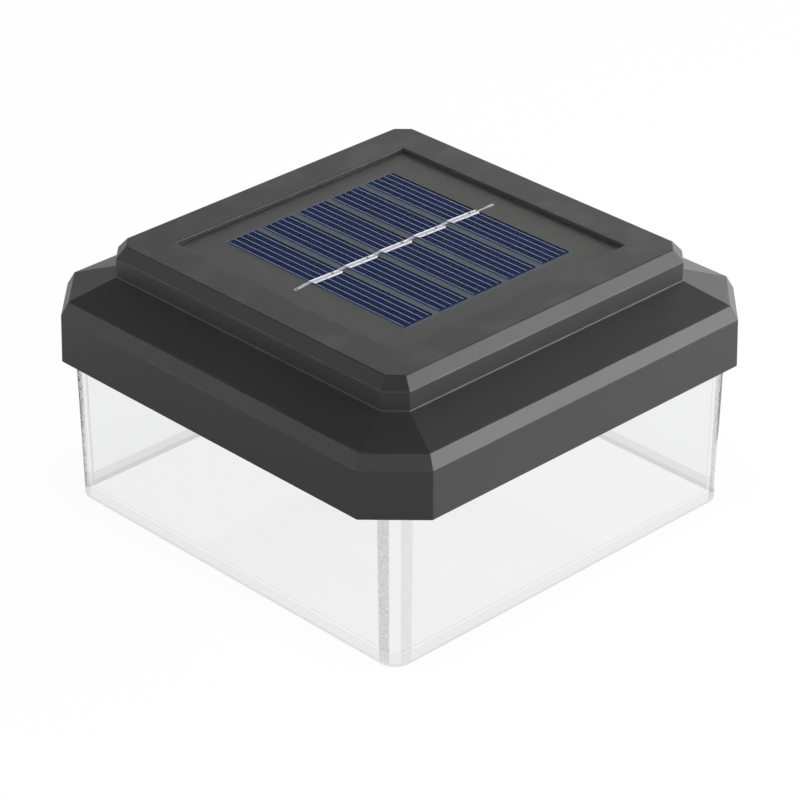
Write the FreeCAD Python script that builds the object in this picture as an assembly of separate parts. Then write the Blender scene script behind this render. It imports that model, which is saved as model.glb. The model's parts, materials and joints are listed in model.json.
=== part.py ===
"""Square solar cap light for a deck post, as its separate pieces, in millimetres.

A clear tub stands on the post.  A dark moulded head sits on the tub's rim and lifts straight off.
The head carries a solar panel on top and, under a white cover, the battery, the board and the lamp.

Frame: the origin is the middle of the tub's underside, +Z is up and +Y is the back of the light.
"""

import FreeCAD, Part
import math
import os

V = FreeCAD.Vector
UP = V(0, 0, 1)
NEAR = 1e-6
UPRIGHT_SHARE = 0.9      # an edge that rises by this share of its length counts as upright
PAST = 1.0               # how far a cutting shape runs past the face that it cuts through

# ---------------------------------------------------------------- driving dimensions
# Head, outside, from the skirt's bottom edge upwards. "In" is how far a band leans in on each side,
# and the skirt is as high as the tub reaches up inside it, and that much more.
cap_side = 120.0
skirt_over_tub = 3.0
skirt_in = 0.2
skirt_chamfer = 11.4
shoulder_rise = 3.2
shoulder_in = 1.75
shoulder_chamfer = 10.4
slope_rise = 4.1
slope_in = 10.65
tier_chamfer = 4.25
tier_rise = 4.65
brow_rise = 2.75
brow_in = 2.3
brow_chamfer = 3.0
cap_wall = 1.6
roof_wall = 2.0
cap_edge_radius = 0.45

# Clear tub.
tub_show = 39.0
tub_engage = 9.0
tub_gap = 4.4
tub_draft = math.radians(0.73)
tub_wall = 2.4
tub_floor = 2.0
tub_corner_radius = 4.5
tub_foot_radius = 0.5
tub_inner_foot_radius = 0.8
post_hole_diameter = 5.2
post_boss_diameter = 13.0
post_boss_height = 2.0

# Locating ribs inside the skirt.
rib_thickness = 1.2
rib_spacing = 34.0
rib_gap = 0.2
rib_lead_in = 1.6
rib_setback = 1.0

# Panel recess and solar panel.
rim_width = 9.25
recess_depth = 0.5
recess_edge_radius = 0.3
ledge_width = 4.0
ledge_thickness = 2.0
collar_wall = 1.8
panel_gap = 0.15
resin_thickness = 0.6
board_thickness = 1.2
adhesive_thickness = 0.4
adhesive_setback = 0.3

# Solar cells: five strips, cut from larger cells and wired in series.
cell_count = 5
cell_margin_x = 7.15
cell_margin_y = 9.75
cell_gap = 2.2
cell_shift_x = -0.5
cell_thickness = 0.2
ribbon_width = 1.9
ribbon_thickness = 0.12
ribbon_skew = 0.45
ribbon_shift_x = -0.9
ribbon_inset = 0.25
tail_width = 0.9
tail_reach = 5.2

# White cover under the head.
cover_thickness = 1.8
cover_corner_radius = 6.0
cover_play = 0.1
gasket_thickness = 1.5
gasket_width = 2.5
lip_gap = 0.5
lip_wall = 1.5
lip_drop = 3.0
lip_corner_radius = 3.0
cap_boss_diameter = 6.4
cap_boss_inset = 5.6
pilot_depth = 7.0

# Fasteners, all thread-forming pan heads.
screw_diameter = 2.6
screw_pilot = 2.6
screw_head_diameter = 5.0
screw_head_height = 1.6
screw_hole = 3.0
cover_screw_length = 8.0
small_screw_diameter = 2.0
small_screw_hole = 2.3
small_head_diameter = 3.6
small_head_height = 1.3
screw_crown = 0.45       # share of the head's height
screw_point = 0.2        # share of the shank's diameter
slot_width = 0.6
slot_depth = 0.6

# Battery bay, hanging through the cover, and its door.
battery_diameter = 14.5
battery_length = 50.5
battery_nub_diameter = 5.5
battery_nub_height = 1.0
battery_shoulder_radius = 0.8
battery_clearance = 0.35
battery_end_play = 0.1
bay_headroom = 0.4
bay_wall = 1.5
bay_gap = 1.4
door_lip = 0.5
door_seal_thickness = 0.8
door_thickness = 1.6
door_tab_length = 9.0
door_rib_thickness = 1.4
door_rib_gap = 0.3
door_rib_inset = 14.0
door_rib_wrap = 1.0
door_edge_radius = 1.2
door_boss_diameter = 6.2
door_pilot_end = 1.0
contact_sheet = 0.4
contact_width = 8.0
contact_half_height = 5.0
spring_reach = 2.6
spring_toe = 0.6
tab_reach = 3.0
tab_height = 3.0
tab_lift = 2.6
tab_slot_play = 0.2

# Lamp: a round board with four lamps looking down through a frosted dome.
led_count = 4
led_board_diameter = 26.0
led_board_thickness = 1.2
led_ring_radius = 4.6
led_length = 3.5
led_width = 2.8
led_height = 0.8
led_window_diameter = 16.0
led_screw_radius = 10.8
lens_flange_diameter = 28.0
lens_flange_thickness = 1.2
lens_dome_radius = 10.5
lens_dome_drop = 4.2
lens_wall = 1.2

# Control board and its parts.
pcb_length = 44.0
pcb_width = 20.0
pcb_thickness = 1.2
pcb_gap = 2.5
standoff_height = 4.0
standoff_diameter = 5.0
standoff_spacing = 36.0
board_screw_length = 4.6
chip_place = (-11.0, -4.0)
chip_length = 5.0
chip_width = 3.9
chip_height = 1.5
chip_lift = 0.15
chip_legs_a_side = 4
chip_leg = 0.4
chip_leg_reach = 1.0
chip_leg_pitch = 1.27
choke_place = (3.5, -6.0)
choke_diameter = 3.2
choke_length = 7.5
choke_end_radius = 0.8
choke_lift = 0.2
choke_lead = 0.6
choke_lead_reach = 1.5
can_place = (12.9, -1.5)
can_diameter = 5.0
can_height = 5.5
can_edge_radius = 0.5
can_clearance = 0.5        # from the shell's window, which the capacitor reaches up into

# Slide switch under the control board; its knob comes down through the cover.
switch_x = 4.0
switch_length = 8.7
switch_width = 4.2
switch_height = 3.4
switch_travel = 2.0
slider_play = 0.15
slider_length = 2.9
slider_width = 1.9
slider_height = 1.2
knob_length = 1.9
knob_width = 1.4
knob_reach = 1.6
knob_slot_play = 0.4
switch_shell = 0.5

# Insulated leads inside the head.
lead_diameter = 1.3
lead_bend = 0.45         # share of the shorter run that each arc takes up
lead_rise = 3.4
led_pad_x = 4.0
led_pad_inset = 3.6
panel_pad_x = 9.4
panel_pad_y = -2.0
battery_pad_x = 18.6
battery_lead_bend_y = 2.0
pad_inset = 3.0
panel_pad_inset = 5.4

# ---------------------------------------------------------------- levels, upwards from the post
skirt_z = tub_show
skirt_top_z = skirt_z + tub_engage + skirt_over_tub
shoulder_z = skirt_top_z + shoulder_rise
slope_z = shoulder_z + slope_rise
tier_z = slope_z + tier_rise
rim_z = tier_z + brow_rise
tub_rim_z = skirt_z + tub_engage
cover_z = tub_rim_z + gasket_thickness
cover_top_z = cover_z + cover_thickness
resin_top_z = rim_z - recess_depth
board_top_z = resin_top_z - resin_thickness
board_z = board_top_z - board_thickness
ledge_top_z = board_z - adhesive_thickness
ledge_z = ledge_top_z - ledge_thickness
bay_top_z = ledge_z - bay_headroom
battery_z = bay_top_z - bay_wall - battery_clearance - battery_diameter / 2
bay_z = battery_z - battery_diameter / 2 - door_lip
door_top_z = bay_z - door_seal_thickness
door_z = door_top_z - door_thickness
lens_z = cover_z - lens_flange_thickness
led_board_z = cover_top_z
led_board_top_z = led_board_z + led_board_thickness
pcb_z = cover_top_z + standoff_height
pcb_top_z = pcb_z + pcb_thickness
switch_z = pcb_z - switch_height

# ---------------------------------------------------------------- half widths and places
skirt_half = cap_side / 2
skirt_top_half = skirt_half - skirt_in
shoulder_half = skirt_top_half - shoulder_in
tier_half = shoulder_half - slope_in
rim_half = tier_half - brow_in
recess_half = rim_half - rim_width
window_half = recess_half - ledge_width
collar_half = recess_half + collar_wall
panel_half = recess_half - panel_gap
cavity_half = tier_half - cap_wall
boss_place = cavity_half - cap_boss_inset


def tub_half(z):
    """Half the tub's outside width at a height; the mould's draft opens it upwards."""
    return skirt_half - cap_wall - tub_gap + (z - skirt_z) * math.tan(tub_draft)


cover_half = tub_half(tub_rim_z) - cover_play
bay_half_length = (battery_length + spring_reach) / 2 + contact_sheet + battery_end_play
bay_half_width = battery_diameter / 2 + battery_clearance
lamp_half = max(lens_flange_diameter, led_board_diameter) / 2
bay_y = lamp_half + bay_gap + bay_wall + bay_half_width
door_screw_x = bay_half_length + bay_wall + door_tab_length / 2
cell_length = 2 * (panel_half - cell_margin_x)
cell_pitch = (2 * (panel_half - cell_margin_y) + cell_gap) / cell_count
cell_width = cell_pitch - cell_gap
pcb_y = -(led_board_diameter / 2 + pcb_gap + pcb_width / 2)


# ---------------------------------------------------------------- shapes used more than once
def block(low, high):
    """A box between two corners."""
    size = [b - a for a, b in zip(low, high)]
    return Part.makeBox(size[0], size[1], size[2], V(*low))


def disc(diameter, z0, z1, x=0.0, y=0.0):
    """An upright cylinder between two heights."""
    return Part.makeCylinder(diameter / 2, z1 - z0, V(x, y, z0), UP)


def upright_edges(shape):
    """Edges that run mostly up and down, such as the corners of a box or a tapered tub."""
    found = []
    for edge in shape.Edges:
        run = edge.Vertexes[-1].Point - edge.Vertexes[0].Point
        if run.Length > 0 and abs(run.z) > UPRIGHT_SHARE * run.Length:
            found.append(edge)
    return found


def edges_at(shape, z):
    """Edges that lie flat at one height."""
    return [e for e in shape.Edges if abs(e.BoundBox.ZMin - z) < NEAR and abs(e.BoundBox.ZMax - z) < NEAR]


def edges_across_x(shape):
    """Edges that lie in a plane square to X, such as the two rims of a lying cylinder."""
    return [e for e in shape.Edges if e.BoundBox.XLength < NEAR]


def rounded_plate(half_x, half_y, z0, z1, radius, x=0.0, y=0.0):
    """A flat plate with rounded corners."""
    plate = block((x - half_x, y - half_y, z0), (x + half_x, y + half_y, z1))
    return plate.makeFillet(radius, upright_edges(plate))


def square_ring(outer, inner, z0, z1):
    """A square frame between two half widths."""
    return block((-outer, -outer, z0), (outer, outer, z1)).cut(
        block((-inner, -inner, z0), (inner, inner, z1)))


def polygon_face(points):
    return Part.Face(Part.makePolygon(points + points[:1]))


def stack(rings):
    """A closed solid whose rings of points are joined by flat faces, lowest ring first."""
    faces = [polygon_face(rings[0][::-1]), polygon_face(rings[-1])]
    for low, high in zip(rings, rings[1:]):
        for i in range(len(low)):
            j = (i + 1) % len(low)
            faces.append(polygon_face([low[i], low[j], high[j], high[i]]))
    return Part.makeSolid(Part.makeShell(faces))


def square_ring_points(half, z):
    return [V(half, -half, z), V(half, half, z), V(-half, half, z), V(-half, -half, z)]


def octagon_points(half, leg, z):
    """A square's outline with each corner cut off at 45 degrees by the given leg."""
    flat = half - leg
    return [V(half, -flat, z), V(half, flat, z), V(flat, half, z), V(-flat, half, z),
            V(-half, flat, z), V(-half, -flat, z), V(-flat, -half, z), V(flat, -half, z)]


def octagon_inside(half, leg, inset, z):
    """The same outline moved in by a wall, whose corner cuts move in by as much."""
    return octagon_points(half - inset, leg - (2 - math.sqrt(2)) * inset, z)


def strip(points, thickness, y0, y1):
    """A bent sheet: a line of (x, z) points given a thickness to its left, as wide as y0 to y1."""
    shift = []
    for i, (x, z) in enumerate(points):
        before = points[max(i - 1, 0)]
        after = points[min(i + 1, len(points) - 1)]
        normals = []
        for a, b in ((before, (x, z)), ((x, z), after)):
            length = math.hypot(b[0] - a[0], b[1] - a[1])
            if length > 0:
                normals.append(((a[1] - b[1]) / length, (b[0] - a[0]) / length))
        nx = sum(n[0] for n in normals)
        nz = sum(n[1] for n in normals)
        scale = thickness * len(normals) / (nx * nx + nz * nz)
        shift.append((x + nx * scale, z + nz * scale))
    outline = [V(x, y0, z) for x, z in points + shift[::-1]]
    return polygon_face(outline).extrude(V(0, y1 - y0, 0))


def pan_screw(x, y, seat_z, length, into, diameter, head_diameter, head_height):
    """A pan-head screw with a straight slot; into is +1 where it is driven upwards, -1 downwards."""
    axis = V(0, 0, into)
    seat = V(x, y, seat_z)
    head = Part.makeCylinder(head_diameter / 2, head_height, seat, axis * -1)
    face_z = seat_z - into * head_height
    head = head.makeFillet(screw_crown * head_height, edges_at(head, face_z))
    shank = Part.makeCylinder(diameter / 2, length, seat, axis)
    shank = shank.makeChamfer(screw_point * diameter, edges_at(shank, seat_z + into * length))
    low_z = min(face_z, face_z + into * slot_depth)
    slot = block((x - head_diameter, y - slot_width / 2, low_z),
                 (x + head_diameter, y + slot_width / 2, low_z + slot_depth))
    return head.fuse(shank).cut(slot).removeSplitter()


def lead(points, name):
    """A round insulated lead along straight runs joined by arcs as large as the runs allow."""
    points = [V(*p) for p in points]
    edges = []
    radii = []
    start = points[0]
    for before, corner, after in zip(points, points[1:], points[2:]):
        a = before - corner
        b = after - corner
        half_turn = (math.pi - a.getAngle(b)) / 2
        cut = lead_bend * min(a.Length, b.Length)
        radius = cut / math.tan(half_turn)
        radii.append(radius)
        a.normalize()
        b.normalize()
        middle = (a + b).normalize()
        arc_start = corner + a * cut
        arc_end = corner + b * cut
        arc_middle = corner + middle * (radius / math.cos(half_turn) - radius)
        edges.append(Part.LineSegment(start, arc_start).toShape())
        edges.append(Part.Arc(arc_start, arc_middle, arc_end).toShape())
        start = arc_end
    edges.append(Part.LineSegment(start, points[-1]).toShape())
    path = Part.Wire(edges)
    section = Part.Wire(Part.Circle(points[0], points[1] - points[0], lead_diameter / 2).toShape())
    tube = path.makePipeShell([section], True, False)
    expected = math.pi * lead_diameter ** 2 / 4 * path.Length
    print("%s: arc radii %s mm, volume over section times length %.4f"
          % (name, ", ".join("%.1f" % r for r in radii), tube.Volume / expected))
    return tube


# ---------------------------------------------------------------- head: moulded shell
def cap_outline():
    """Half width, corner leg and height of each crease of the head, from the skirt's edge up."""
    return [(skirt_half, skirt_chamfer, skirt_z), (skirt_top_half, skirt_chamfer, skirt_top_z),
            (shoulder_half, shoulder_chamfer, shoulder_z), (tier_half, tier_chamfer, slope_z),
            (tier_half, tier_chamfer, tier_z), (rim_half, brow_chamfer, rim_z)]


def cap_solid():
    """The outside of the head as one solid with small moulded radii on its creases."""
    solid = stack([octagon_points(*band) for band in cap_outline()])
    return solid.makeFillet(cap_edge_radius, solid.Edges)


def inside_crease(below, here, above):
    """Where a crease of the outline lies on the inside of the wall, parallel to both of its bands."""
    facing = []
    for low, high in ((below, here), (here, above)):
        run = low[0] - high[0]
        rise = high[2] - low[2]
        length = math.hypot(run, rise)
        facing.append((rise / length, run / length))
    out = facing[0][0] + facing[1][0]
    up = facing[0][1] + facing[1][1]
    scale = 2 * cap_wall / (out * out + up * up)
    return octagon_inside(here[0], here[1], out * scale, here[2] - up * scale)


def cap_cavity():
    """The hollow under the head, one wall inside the outline."""
    creases = cap_outline()
    foot = octagon_inside(creases[0][0], creases[0][1], cap_wall, skirt_z)
    bends = [inside_crease(*creases[i - 1:i + 2]) for i in (1, 2, 3)]
    roof = octagon_inside(tier_half, tier_chamfer, cap_wall, rim_z - roof_wall)
    return stack([foot] + bends + [roof])


def locating_rib(side, along):
    """A thin rib inside the skirt that centres the tub, with a lead-in at its foot."""
    inner = tub_half(tub_rim_z) + rib_gap
    outer = skirt_half - cap_wall / 2
    low = skirt_z + rib_setback
    high = shoulder_z - shoulder_rise / 2
    profile = [V(inner + rib_lead_in, 0, low), V(outer, 0, low), V(outer, 0, skirt_top_z),
               V(shoulder_half - cap_wall / 2, 0, high), V(inner, 0, high),
               V(inner, 0, low + 2 * rib_lead_in)]
    rib = polygon_face(profile).extrude(V(0, rib_thickness, 0))
    rib.translate(V(0, along - rib_thickness / 2, 0))
    rib.rotate(V(0, 0, 0), UP, 90 * side)
    return rib


def cover_boss(x, y):
    """A post under the roof that a cover screw drives into."""
    post = disc(cap_boss_diameter, cover_top_z, rim_z - roof_wall / 2, x, y)
    return post.cut(disc(screw_pilot, cover_top_z, cover_top_z + pilot_depth, x, y))


def recess_rim(shape):
    """The recess's four top edges."""
    return [e for e in edges_at(shape, rim_z)
            if max(abs(c) for p in e.Vertexes for c in (p.X, p.Y)) < recess_half + NEAR]


def cap_shell():
    shell = cap_solid().cut(cap_cavity())
    ribs = [locating_rib(side, along) for side in range(4) for along in (-rib_spacing, 0, rib_spacing)]
    bosses = [cover_boss(x, y) for x, y in boss_places()]
    collar = square_ring(collar_half, window_half, ledge_z, rim_z - roof_wall / 2)
    shell = shell.fuse(ribs + bosses + [collar])
    recess = block((-recess_half, -recess_half, ledge_top_z), (recess_half, recess_half, rim_z + PAST))
    window = block((-window_half, -window_half, ledge_z - PAST), (window_half, window_half, rim_z))
    shell = shell.cut([recess, window]).removeSplitter()
    return shell.makeFillet(recess_edge_radius, recess_rim(shell))


def boss_places():
    return [(sx * boss_place, sy * boss_place) for sx in (-1, 1) for sy in (-1, 1)]


# ---------------------------------------------------------------- solar panel
def cell_y(number):
    """Middle of a strip; the first is the rearmost."""
    return ((cell_count - 1) / 2 - (number - 1)) * cell_pitch


def solar_cell(number):
    y = cell_y(number)
    return block((cell_shift_x - cell_length / 2, y - cell_width / 2, board_top_z),
                 (cell_shift_x + cell_length / 2, y + cell_width / 2, board_top_z + cell_thickness))


def sheet_run(low_points, high_points, width):
    """A flat ribbon hung along (x, y, z) points, whose thickness lies between the two lines."""
    rings = []
    for low, high in zip(low_points, high_points):
        x0 = low[0] - width / 2
        x1 = low[0] + width / 2
        rings.append([V(x0, low[1], low[2]), V(x1, low[1], low[2]),
                      V(x1, high[1], high[2]), V(x0, high[1], high[2])])
    return stack(rings)


def cell_ribbon(number):
    """Tinned ribbon on one strip. It steps down at the front and ends at the next strip's edge."""
    y0 = cell_y(number) + cell_width / 2 - ribbon_inset
    y1 = cell_y(number) - cell_width / 2
    y2 = y1 - cell_gap
    top = board_top_z + cell_thickness
    x0 = ribbon_shift_x + ribbon_skew / 2
    x1 = ribbon_shift_x - ribbon_skew / 2
    line = [(x0, y0, top), (x1, y1, top), (x1, (y1 + y2) / 2, board_top_z), (x1, y2, board_top_z)]
    above = [(x, y, z + ribbon_thickness) for x, y, z in line]
    above[2] = (x1, (y1 + y2) / 2, board_top_z + ribbon_thickness)
    return sheet_run(line, above, ribbon_width)


def ribbon_tails():
    """The two ends of the string: narrow tinned strips on the board, behind and in front."""
    edge = cell_y(1) + cell_width / 2
    front = cell_y(cell_count) - cell_width / 2 - cell_gap
    x0 = ribbon_shift_x - tail_width / 2
    top = board_top_z + ribbon_thickness
    rear = block((x0, edge, board_top_z), (x0 + tail_width, edge + tail_reach, top))
    fore = block((x0, front - tail_reach + cell_gap, board_top_z), (x0 + tail_width, front, top))
    return Part.makeCompound([rear, fore])


def panel_board():
    return block((-panel_half, -panel_half, board_z), (panel_half, panel_half, board_top_z))


def panel_adhesive():
    return square_ring(panel_half, window_half + adhesive_setback, ledge_top_z, board_z)


def panel_resin():
    """The clear resin poured over the strips, so it has their shapes as pockets."""
    resin = block((-panel_half, -panel_half, board_top_z), (panel_half, panel_half, resin_top_z))
    numbers = range(1, cell_count + 1)
    buried = [solar_cell(n) for n in numbers] + [cell_ribbon(n) for n in numbers]
    return resin.cut(buried + ribbon_tails().Solids)


# ---------------------------------------------------------------- clear tub
def tapered_box(z0, z1, inset):
    return stack([square_ring_points(tub_half(z0) - inset, z0), square_ring_points(tub_half(z1) - inset, z1)])


def clear_tub():
    outside = tapered_box(0, tub_rim_z, 0)
    outside = outside.makeFillet(tub_corner_radius, upright_edges(outside))
    outside = outside.makeFillet(tub_foot_radius, edges_at(outside, 0))
    inside = tapered_box(tub_floor, tub_rim_z, tub_wall)
    inside = inside.makeFillet(tub_corner_radius - tub_wall, upright_edges(inside))
    inside = inside.makeFillet(tub_inner_foot_radius, edges_at(inside, tub_floor))
    boss = disc(post_boss_diameter, tub_floor / 2, tub_floor + post_boss_height)
    hole = disc(post_hole_diameter, -PAST, tub_floor + post_boss_height + PAST)
    return outside.cut(inside).fuse(boss).cut(hole).removeSplitter()


def rim_gasket():
    """Foam frame under the cover's edge that the tub's rim presses into."""
    outer = rounded_plate(cover_half, cover_half, tub_rim_z, cover_z, cover_corner_radius)
    inner_half = cover_half - gasket_width
    inner = rounded_plate(inner_half, inner_half, tub_rim_z, cover_z, cover_corner_radius - gasket_width)
    return outer.cut(inner)


# ---------------------------------------------------------------- white cover under the head
def door_screw_places():
    return [(-door_screw_x, bay_y), (door_screw_x, bay_y)]


def led_screw_places():
    return [(-led_screw_radius, 0.0), (led_screw_radius, 0.0)]


def board_screw_places():
    return [(-standoff_spacing / 2, pcb_y), (standoff_spacing / 2, pcb_y)]


def bay_outside():
    half_x = bay_half_length + bay_wall
    half_y = bay_half_width + bay_wall
    return rounded_plate(half_x, half_y, bay_z, bay_top_z, door_edge_radius, 0, bay_y)


def bay_inside():
    return block((-bay_half_length, bay_y - bay_half_width, bay_z - PAST),
                 (bay_half_length, bay_y + bay_half_width, bay_top_z - bay_wall))


def tab_box(side, play):
    """Where a contact's solder tab passes the bay's front wall; play opens it for the slot."""
    outer_x = side * bay_half_length
    inner_x = side * (bay_half_length - contact_sheet - play)
    y_inside = bay_y - bay_half_width
    y_end = y_inside - bay_wall - tab_reach
    z0 = battery_z + tab_lift - tab_height / 2 - play
    return block((min(outer_x, inner_x), y_end, z0),
                 (max(outer_x, inner_x), y_inside, z0 + tab_height + 2 * play))


def cover_lip():
    """Frame under the cover that reaches into the tub, just inside its wall."""
    outer_half = tub_half(tub_rim_z) - tub_wall - lip_gap
    inner_half = outer_half - lip_wall
    low = cover_z - lip_drop
    outer = rounded_plate(outer_half, outer_half, low, cover_z, lip_corner_radius)
    return outer.cut(rounded_plate(inner_half, inner_half, low, cover_z, lip_corner_radius - lip_wall))


def underside_cover():
    plate = rounded_plate(cover_half, cover_half, cover_z, cover_top_z, cover_corner_radius)
    posts = [disc(standoff_diameter, cover_top_z, pcb_z, x, y) for x, y in board_screw_places()]
    door_posts = [disc(door_boss_diameter, door_top_z, cover_z + cover_thickness / 2, x, y)
                  for x, y in door_screw_places()]
    body = plate.fuse([cover_lip(), bay_outside()] + posts + door_posts).cut(bay_inside())
    holes = [disc(screw_hole, cover_z - PAST, cover_top_z + PAST, x, y) for x, y in boss_places()]
    holes += [disc(small_screw_diameter, cover_z - PAST, cover_top_z + PAST, x, y)
              for x, y in led_screw_places()]
    holes += [disc(small_screw_diameter, pcb_top_z - board_screw_length, pcb_z + PAST, x, y)
              for x, y in board_screw_places()]
    holes += [disc(screw_pilot, door_top_z - PAST, cover_z, x, y) for x, y in door_screw_places()]
    holes.append(disc(led_window_diameter, cover_z - PAST, cover_top_z + PAST))
    knob_half = (knob_length + switch_travel) / 2 + knob_slot_play
    holes.append(block((switch_x - knob_half, pcb_y - knob_width / 2 - knob_slot_play, cover_z - PAST),
                       (switch_x + knob_half, pcb_y + knob_width / 2 + knob_slot_play, cover_top_z + PAST)))
    holes += [tab_box(side, tab_slot_play) for side in (-1, 1)]
    return body.cut(holes).removeSplitter()


def cover_screws():
    return Part.makeCompound([
        pan_screw(x, y, cover_z, cover_screw_length, 1, screw_diameter, screw_head_diameter,
                  screw_head_height) for x, y in boss_places()])


# ---------------------------------------------------------------- battery, contacts and door
def battery_span():
    """Where the cell's flat end and its nub lie along X."""
    nub = bay_half_length - contact_sheet - battery_end_play
    return nub - battery_length, nub


def battery_cell():
    flat, nub = battery_span()
    along = V(1, 0, 0)
    can_length = battery_length - battery_nub_height
    can = Part.makeCylinder(battery_diameter / 2, can_length, V(flat, bay_y, battery_z), along)
    can = can.makeFillet(battery_shoulder_radius, edges_across_x(can))
    button = Part.makeCylinder(battery_nub_diameter / 2, battery_nub_height + PAST,
                               V(nub - battery_nub_height - PAST, bay_y, battery_z), along)
    return can.fuse(button).removeSplitter()


def contact_plate(side):
    outer_x = side * bay_half_length
    inner_x = side * (bay_half_length - contact_sheet)
    plate = block((min(outer_x, inner_x), bay_y - bay_half_width, battery_z - contact_half_height),
                  (max(outer_x, inner_x), bay_y + contact_width / 2, battery_z + contact_half_height))
    return plate.fuse(tab_box(side, 0))


def battery_contact_plus():
    return contact_plate(1).removeSplitter()


def battery_contact_spring():
    """The other contact, whose leaf is folded at the top and bows out to press on the cell."""
    x0 = -bay_half_length + contact_sheet
    crest = battery_span()[0] - battery_end_play
    top = battery_z + contact_half_height
    leaf = strip([(x0 - contact_sheet, top - contact_sheet), (x0 + contact_sheet, top - contact_sheet),
                  (crest - contact_sheet, battery_z), (x0 + spring_toe, battery_z - contact_half_height)],
                 contact_sheet, bay_y - contact_width / 2, bay_y + contact_width / 2)
    return contact_plate(-1).fuse(leaf).removeSplitter()


def battery_door():
    half_x = bay_half_length + bay_wall + door_tab_length
    half_y = bay_half_width + bay_wall
    plate = rounded_plate(half_x, half_y, door_z, door_top_z, door_edge_radius, 0, bay_y)
    rib_top = battery_z - battery_diameter / 2 + door_rib_wrap
    cradle = Part.makeCylinder(battery_diameter / 2 + door_rib_gap, 2 * half_x,
                               V(-half_x, bay_y, battery_z), V(1, 0, 0))
    rib_half_width = bay_half_width - battery_clearance
    ribs = []
    for x in (-bay_half_length + door_rib_inset, bay_half_length - door_rib_inset):
        rib = block((x - door_rib_thickness / 2, bay_y - rib_half_width, door_top_z),
                    (x + door_rib_thickness / 2, bay_y + rib_half_width, rib_top))
        ribs.append(rib.cut(cradle))
    holes = [disc(screw_hole, door_z - PAST, door_top_z + PAST, x, y) for x, y in door_screw_places()]
    return plate.fuse(ribs).cut(holes).removeSplitter()


def door_seal():
    outer = rounded_plate(bay_half_length + bay_wall, bay_half_width + bay_wall, door_top_z, bay_z,
                          door_edge_radius, 0, bay_y)
    return outer.cut(bay_inside())


def door_screws():
    length = door_thickness + cover_z - door_top_z - door_pilot_end
    return Part.makeCompound([
        pan_screw(x, y, door_z, length, 1, screw_diameter, screw_head_diameter, screw_head_height)
        for x, y in door_screw_places()])


# ---------------------------------------------------------------- lamp
def led_board():
    board = disc(led_board_diameter, led_board_z, led_board_top_z)
    return board.cut([disc(small_screw_hole, led_board_z - PAST, led_board_top_z + PAST, x, y)
                      for x, y in led_screw_places()])


def led(number):
    """One surface-mount lamp on the board's underside, a quarter turn from the last."""
    body = block((-led_length / 2, led_ring_radius - led_width / 2, led_board_z - led_height),
                 (led_length / 2, led_ring_radius + led_width / 2, led_board_z))
    body.rotate(V(0, 0, 0), UP, 360 / led_count * (number - 0.5))
    return body


def led_board_screws():
    length = led_board_thickness + cover_thickness
    return Part.makeCompound([
        pan_screw(x, y, led_board_top_z, length, -1, small_screw_diameter, small_head_diameter,
                  small_head_height) for x, y in led_screw_places()])


def dome(radius, drop, z):
    """A spherical cap hanging down from a height, with the given rim radius and drop."""
    sphere_radius = (radius * radius + drop * drop) / (2 * drop)
    ball = Part.makeSphere(sphere_radius, V(0, 0, z - drop + sphere_radius))
    return ball.common(disc(2 * sphere_radius, z - drop - PAST, z))


def diffuser_lens():
    """Frosted dome under the lamps, with a flat flange that is stuck to the cover."""
    flange = disc(lens_flange_diameter, lens_z, cover_z)
    shell = dome(lens_dome_radius, lens_dome_drop, lens_z)
    hollow = dome(lens_dome_radius - lens_wall, lens_dome_drop - lens_wall, lens_z)
    mouth = disc(2 * (lens_dome_radius - lens_wall), lens_z, cover_z + PAST)
    return flange.fuse(shell).cut([hollow, mouth]).removeSplitter()


# ---------------------------------------------------------------- control board
def control_board():
    board = block((-pcb_length / 2, pcb_y - pcb_width / 2, pcb_z),
                  (pcb_length / 2, pcb_y + pcb_width / 2, pcb_top_z))
    return board.cut([disc(small_screw_hole, pcb_z - PAST, pcb_top_z + PAST, x, y)
                      for x, y in board_screw_places()])


def board_screws():
    return Part.makeCompound([
        pan_screw(x, y, pcb_top_z, board_screw_length, -1, small_screw_diameter, small_head_diameter,
                  small_head_height) for x, y in board_screw_places()])


def driver_chip():
    """Eight-legged driver that charges the battery by day and feeds the lamps at night."""
    x = chip_place[0]
    y = pcb_y + chip_place[1]
    z = pcb_top_z + chip_lift
    body = block((x - chip_length / 2, y - chip_width / 2, z),
                 (x + chip_length / 2, y + chip_width / 2, z + chip_height))
    legs = []
    for number in range(chip_legs_a_side):
        leg_x = x + (number - (chip_legs_a_side - 1) / 2) * chip_leg_pitch
        legs.append(block((leg_x - chip_leg / 2, y - chip_width / 2 - chip_leg_reach, pcb_top_z),
                          (leg_x + chip_leg / 2, y + chip_width / 2 + chip_leg_reach, z + chip_leg)))
    return body.fuse(legs).removeSplitter()


def choke_coil():
    """Axial choke lying on the board on its two bent leads."""
    x = choke_place[0]
    y = pcb_y + choke_place[1]
    z = pcb_top_z + choke_lift + choke_diameter / 2
    body = Part.makeCylinder(choke_diameter / 2, choke_length, V(x - choke_length / 2, y, z), V(1, 0, 0))
    body = body.makeFillet(choke_end_radius, edges_across_x(body))
    reach = choke_length / 2 + choke_lead_reach
    wire = Part.makeCylinder(choke_lead / 2, 2 * reach, V(x - reach, y, z), V(1, 0, 0))
    legs = [disc(choke_lead, pcb_top_z, z, x + side * reach, y) for side in (-1, 1)]
    knees = [Part.makeSphere(choke_lead / 2, V(x + side * reach, y, z)) for side in (-1, 1)]
    return body.fuse([wire] + legs + knees).removeSplitter()


def storage_capacitor():
    """Stands on the board where its top comes up inside the shell's window."""
    y = max(pcb_y + can_place[1], can_clearance + can_diameter / 2 - window_half)
    can = disc(can_diameter, pcb_top_z, pcb_top_z + can_height, can_place[0], y)
    return can.makeFillet(can_edge_radius, edges_at(can, pcb_top_z + can_height))


def slider_start():
    """Left end of the slider when the switch is off."""
    return switch_x - (slider_length + switch_travel) / 2


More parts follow.
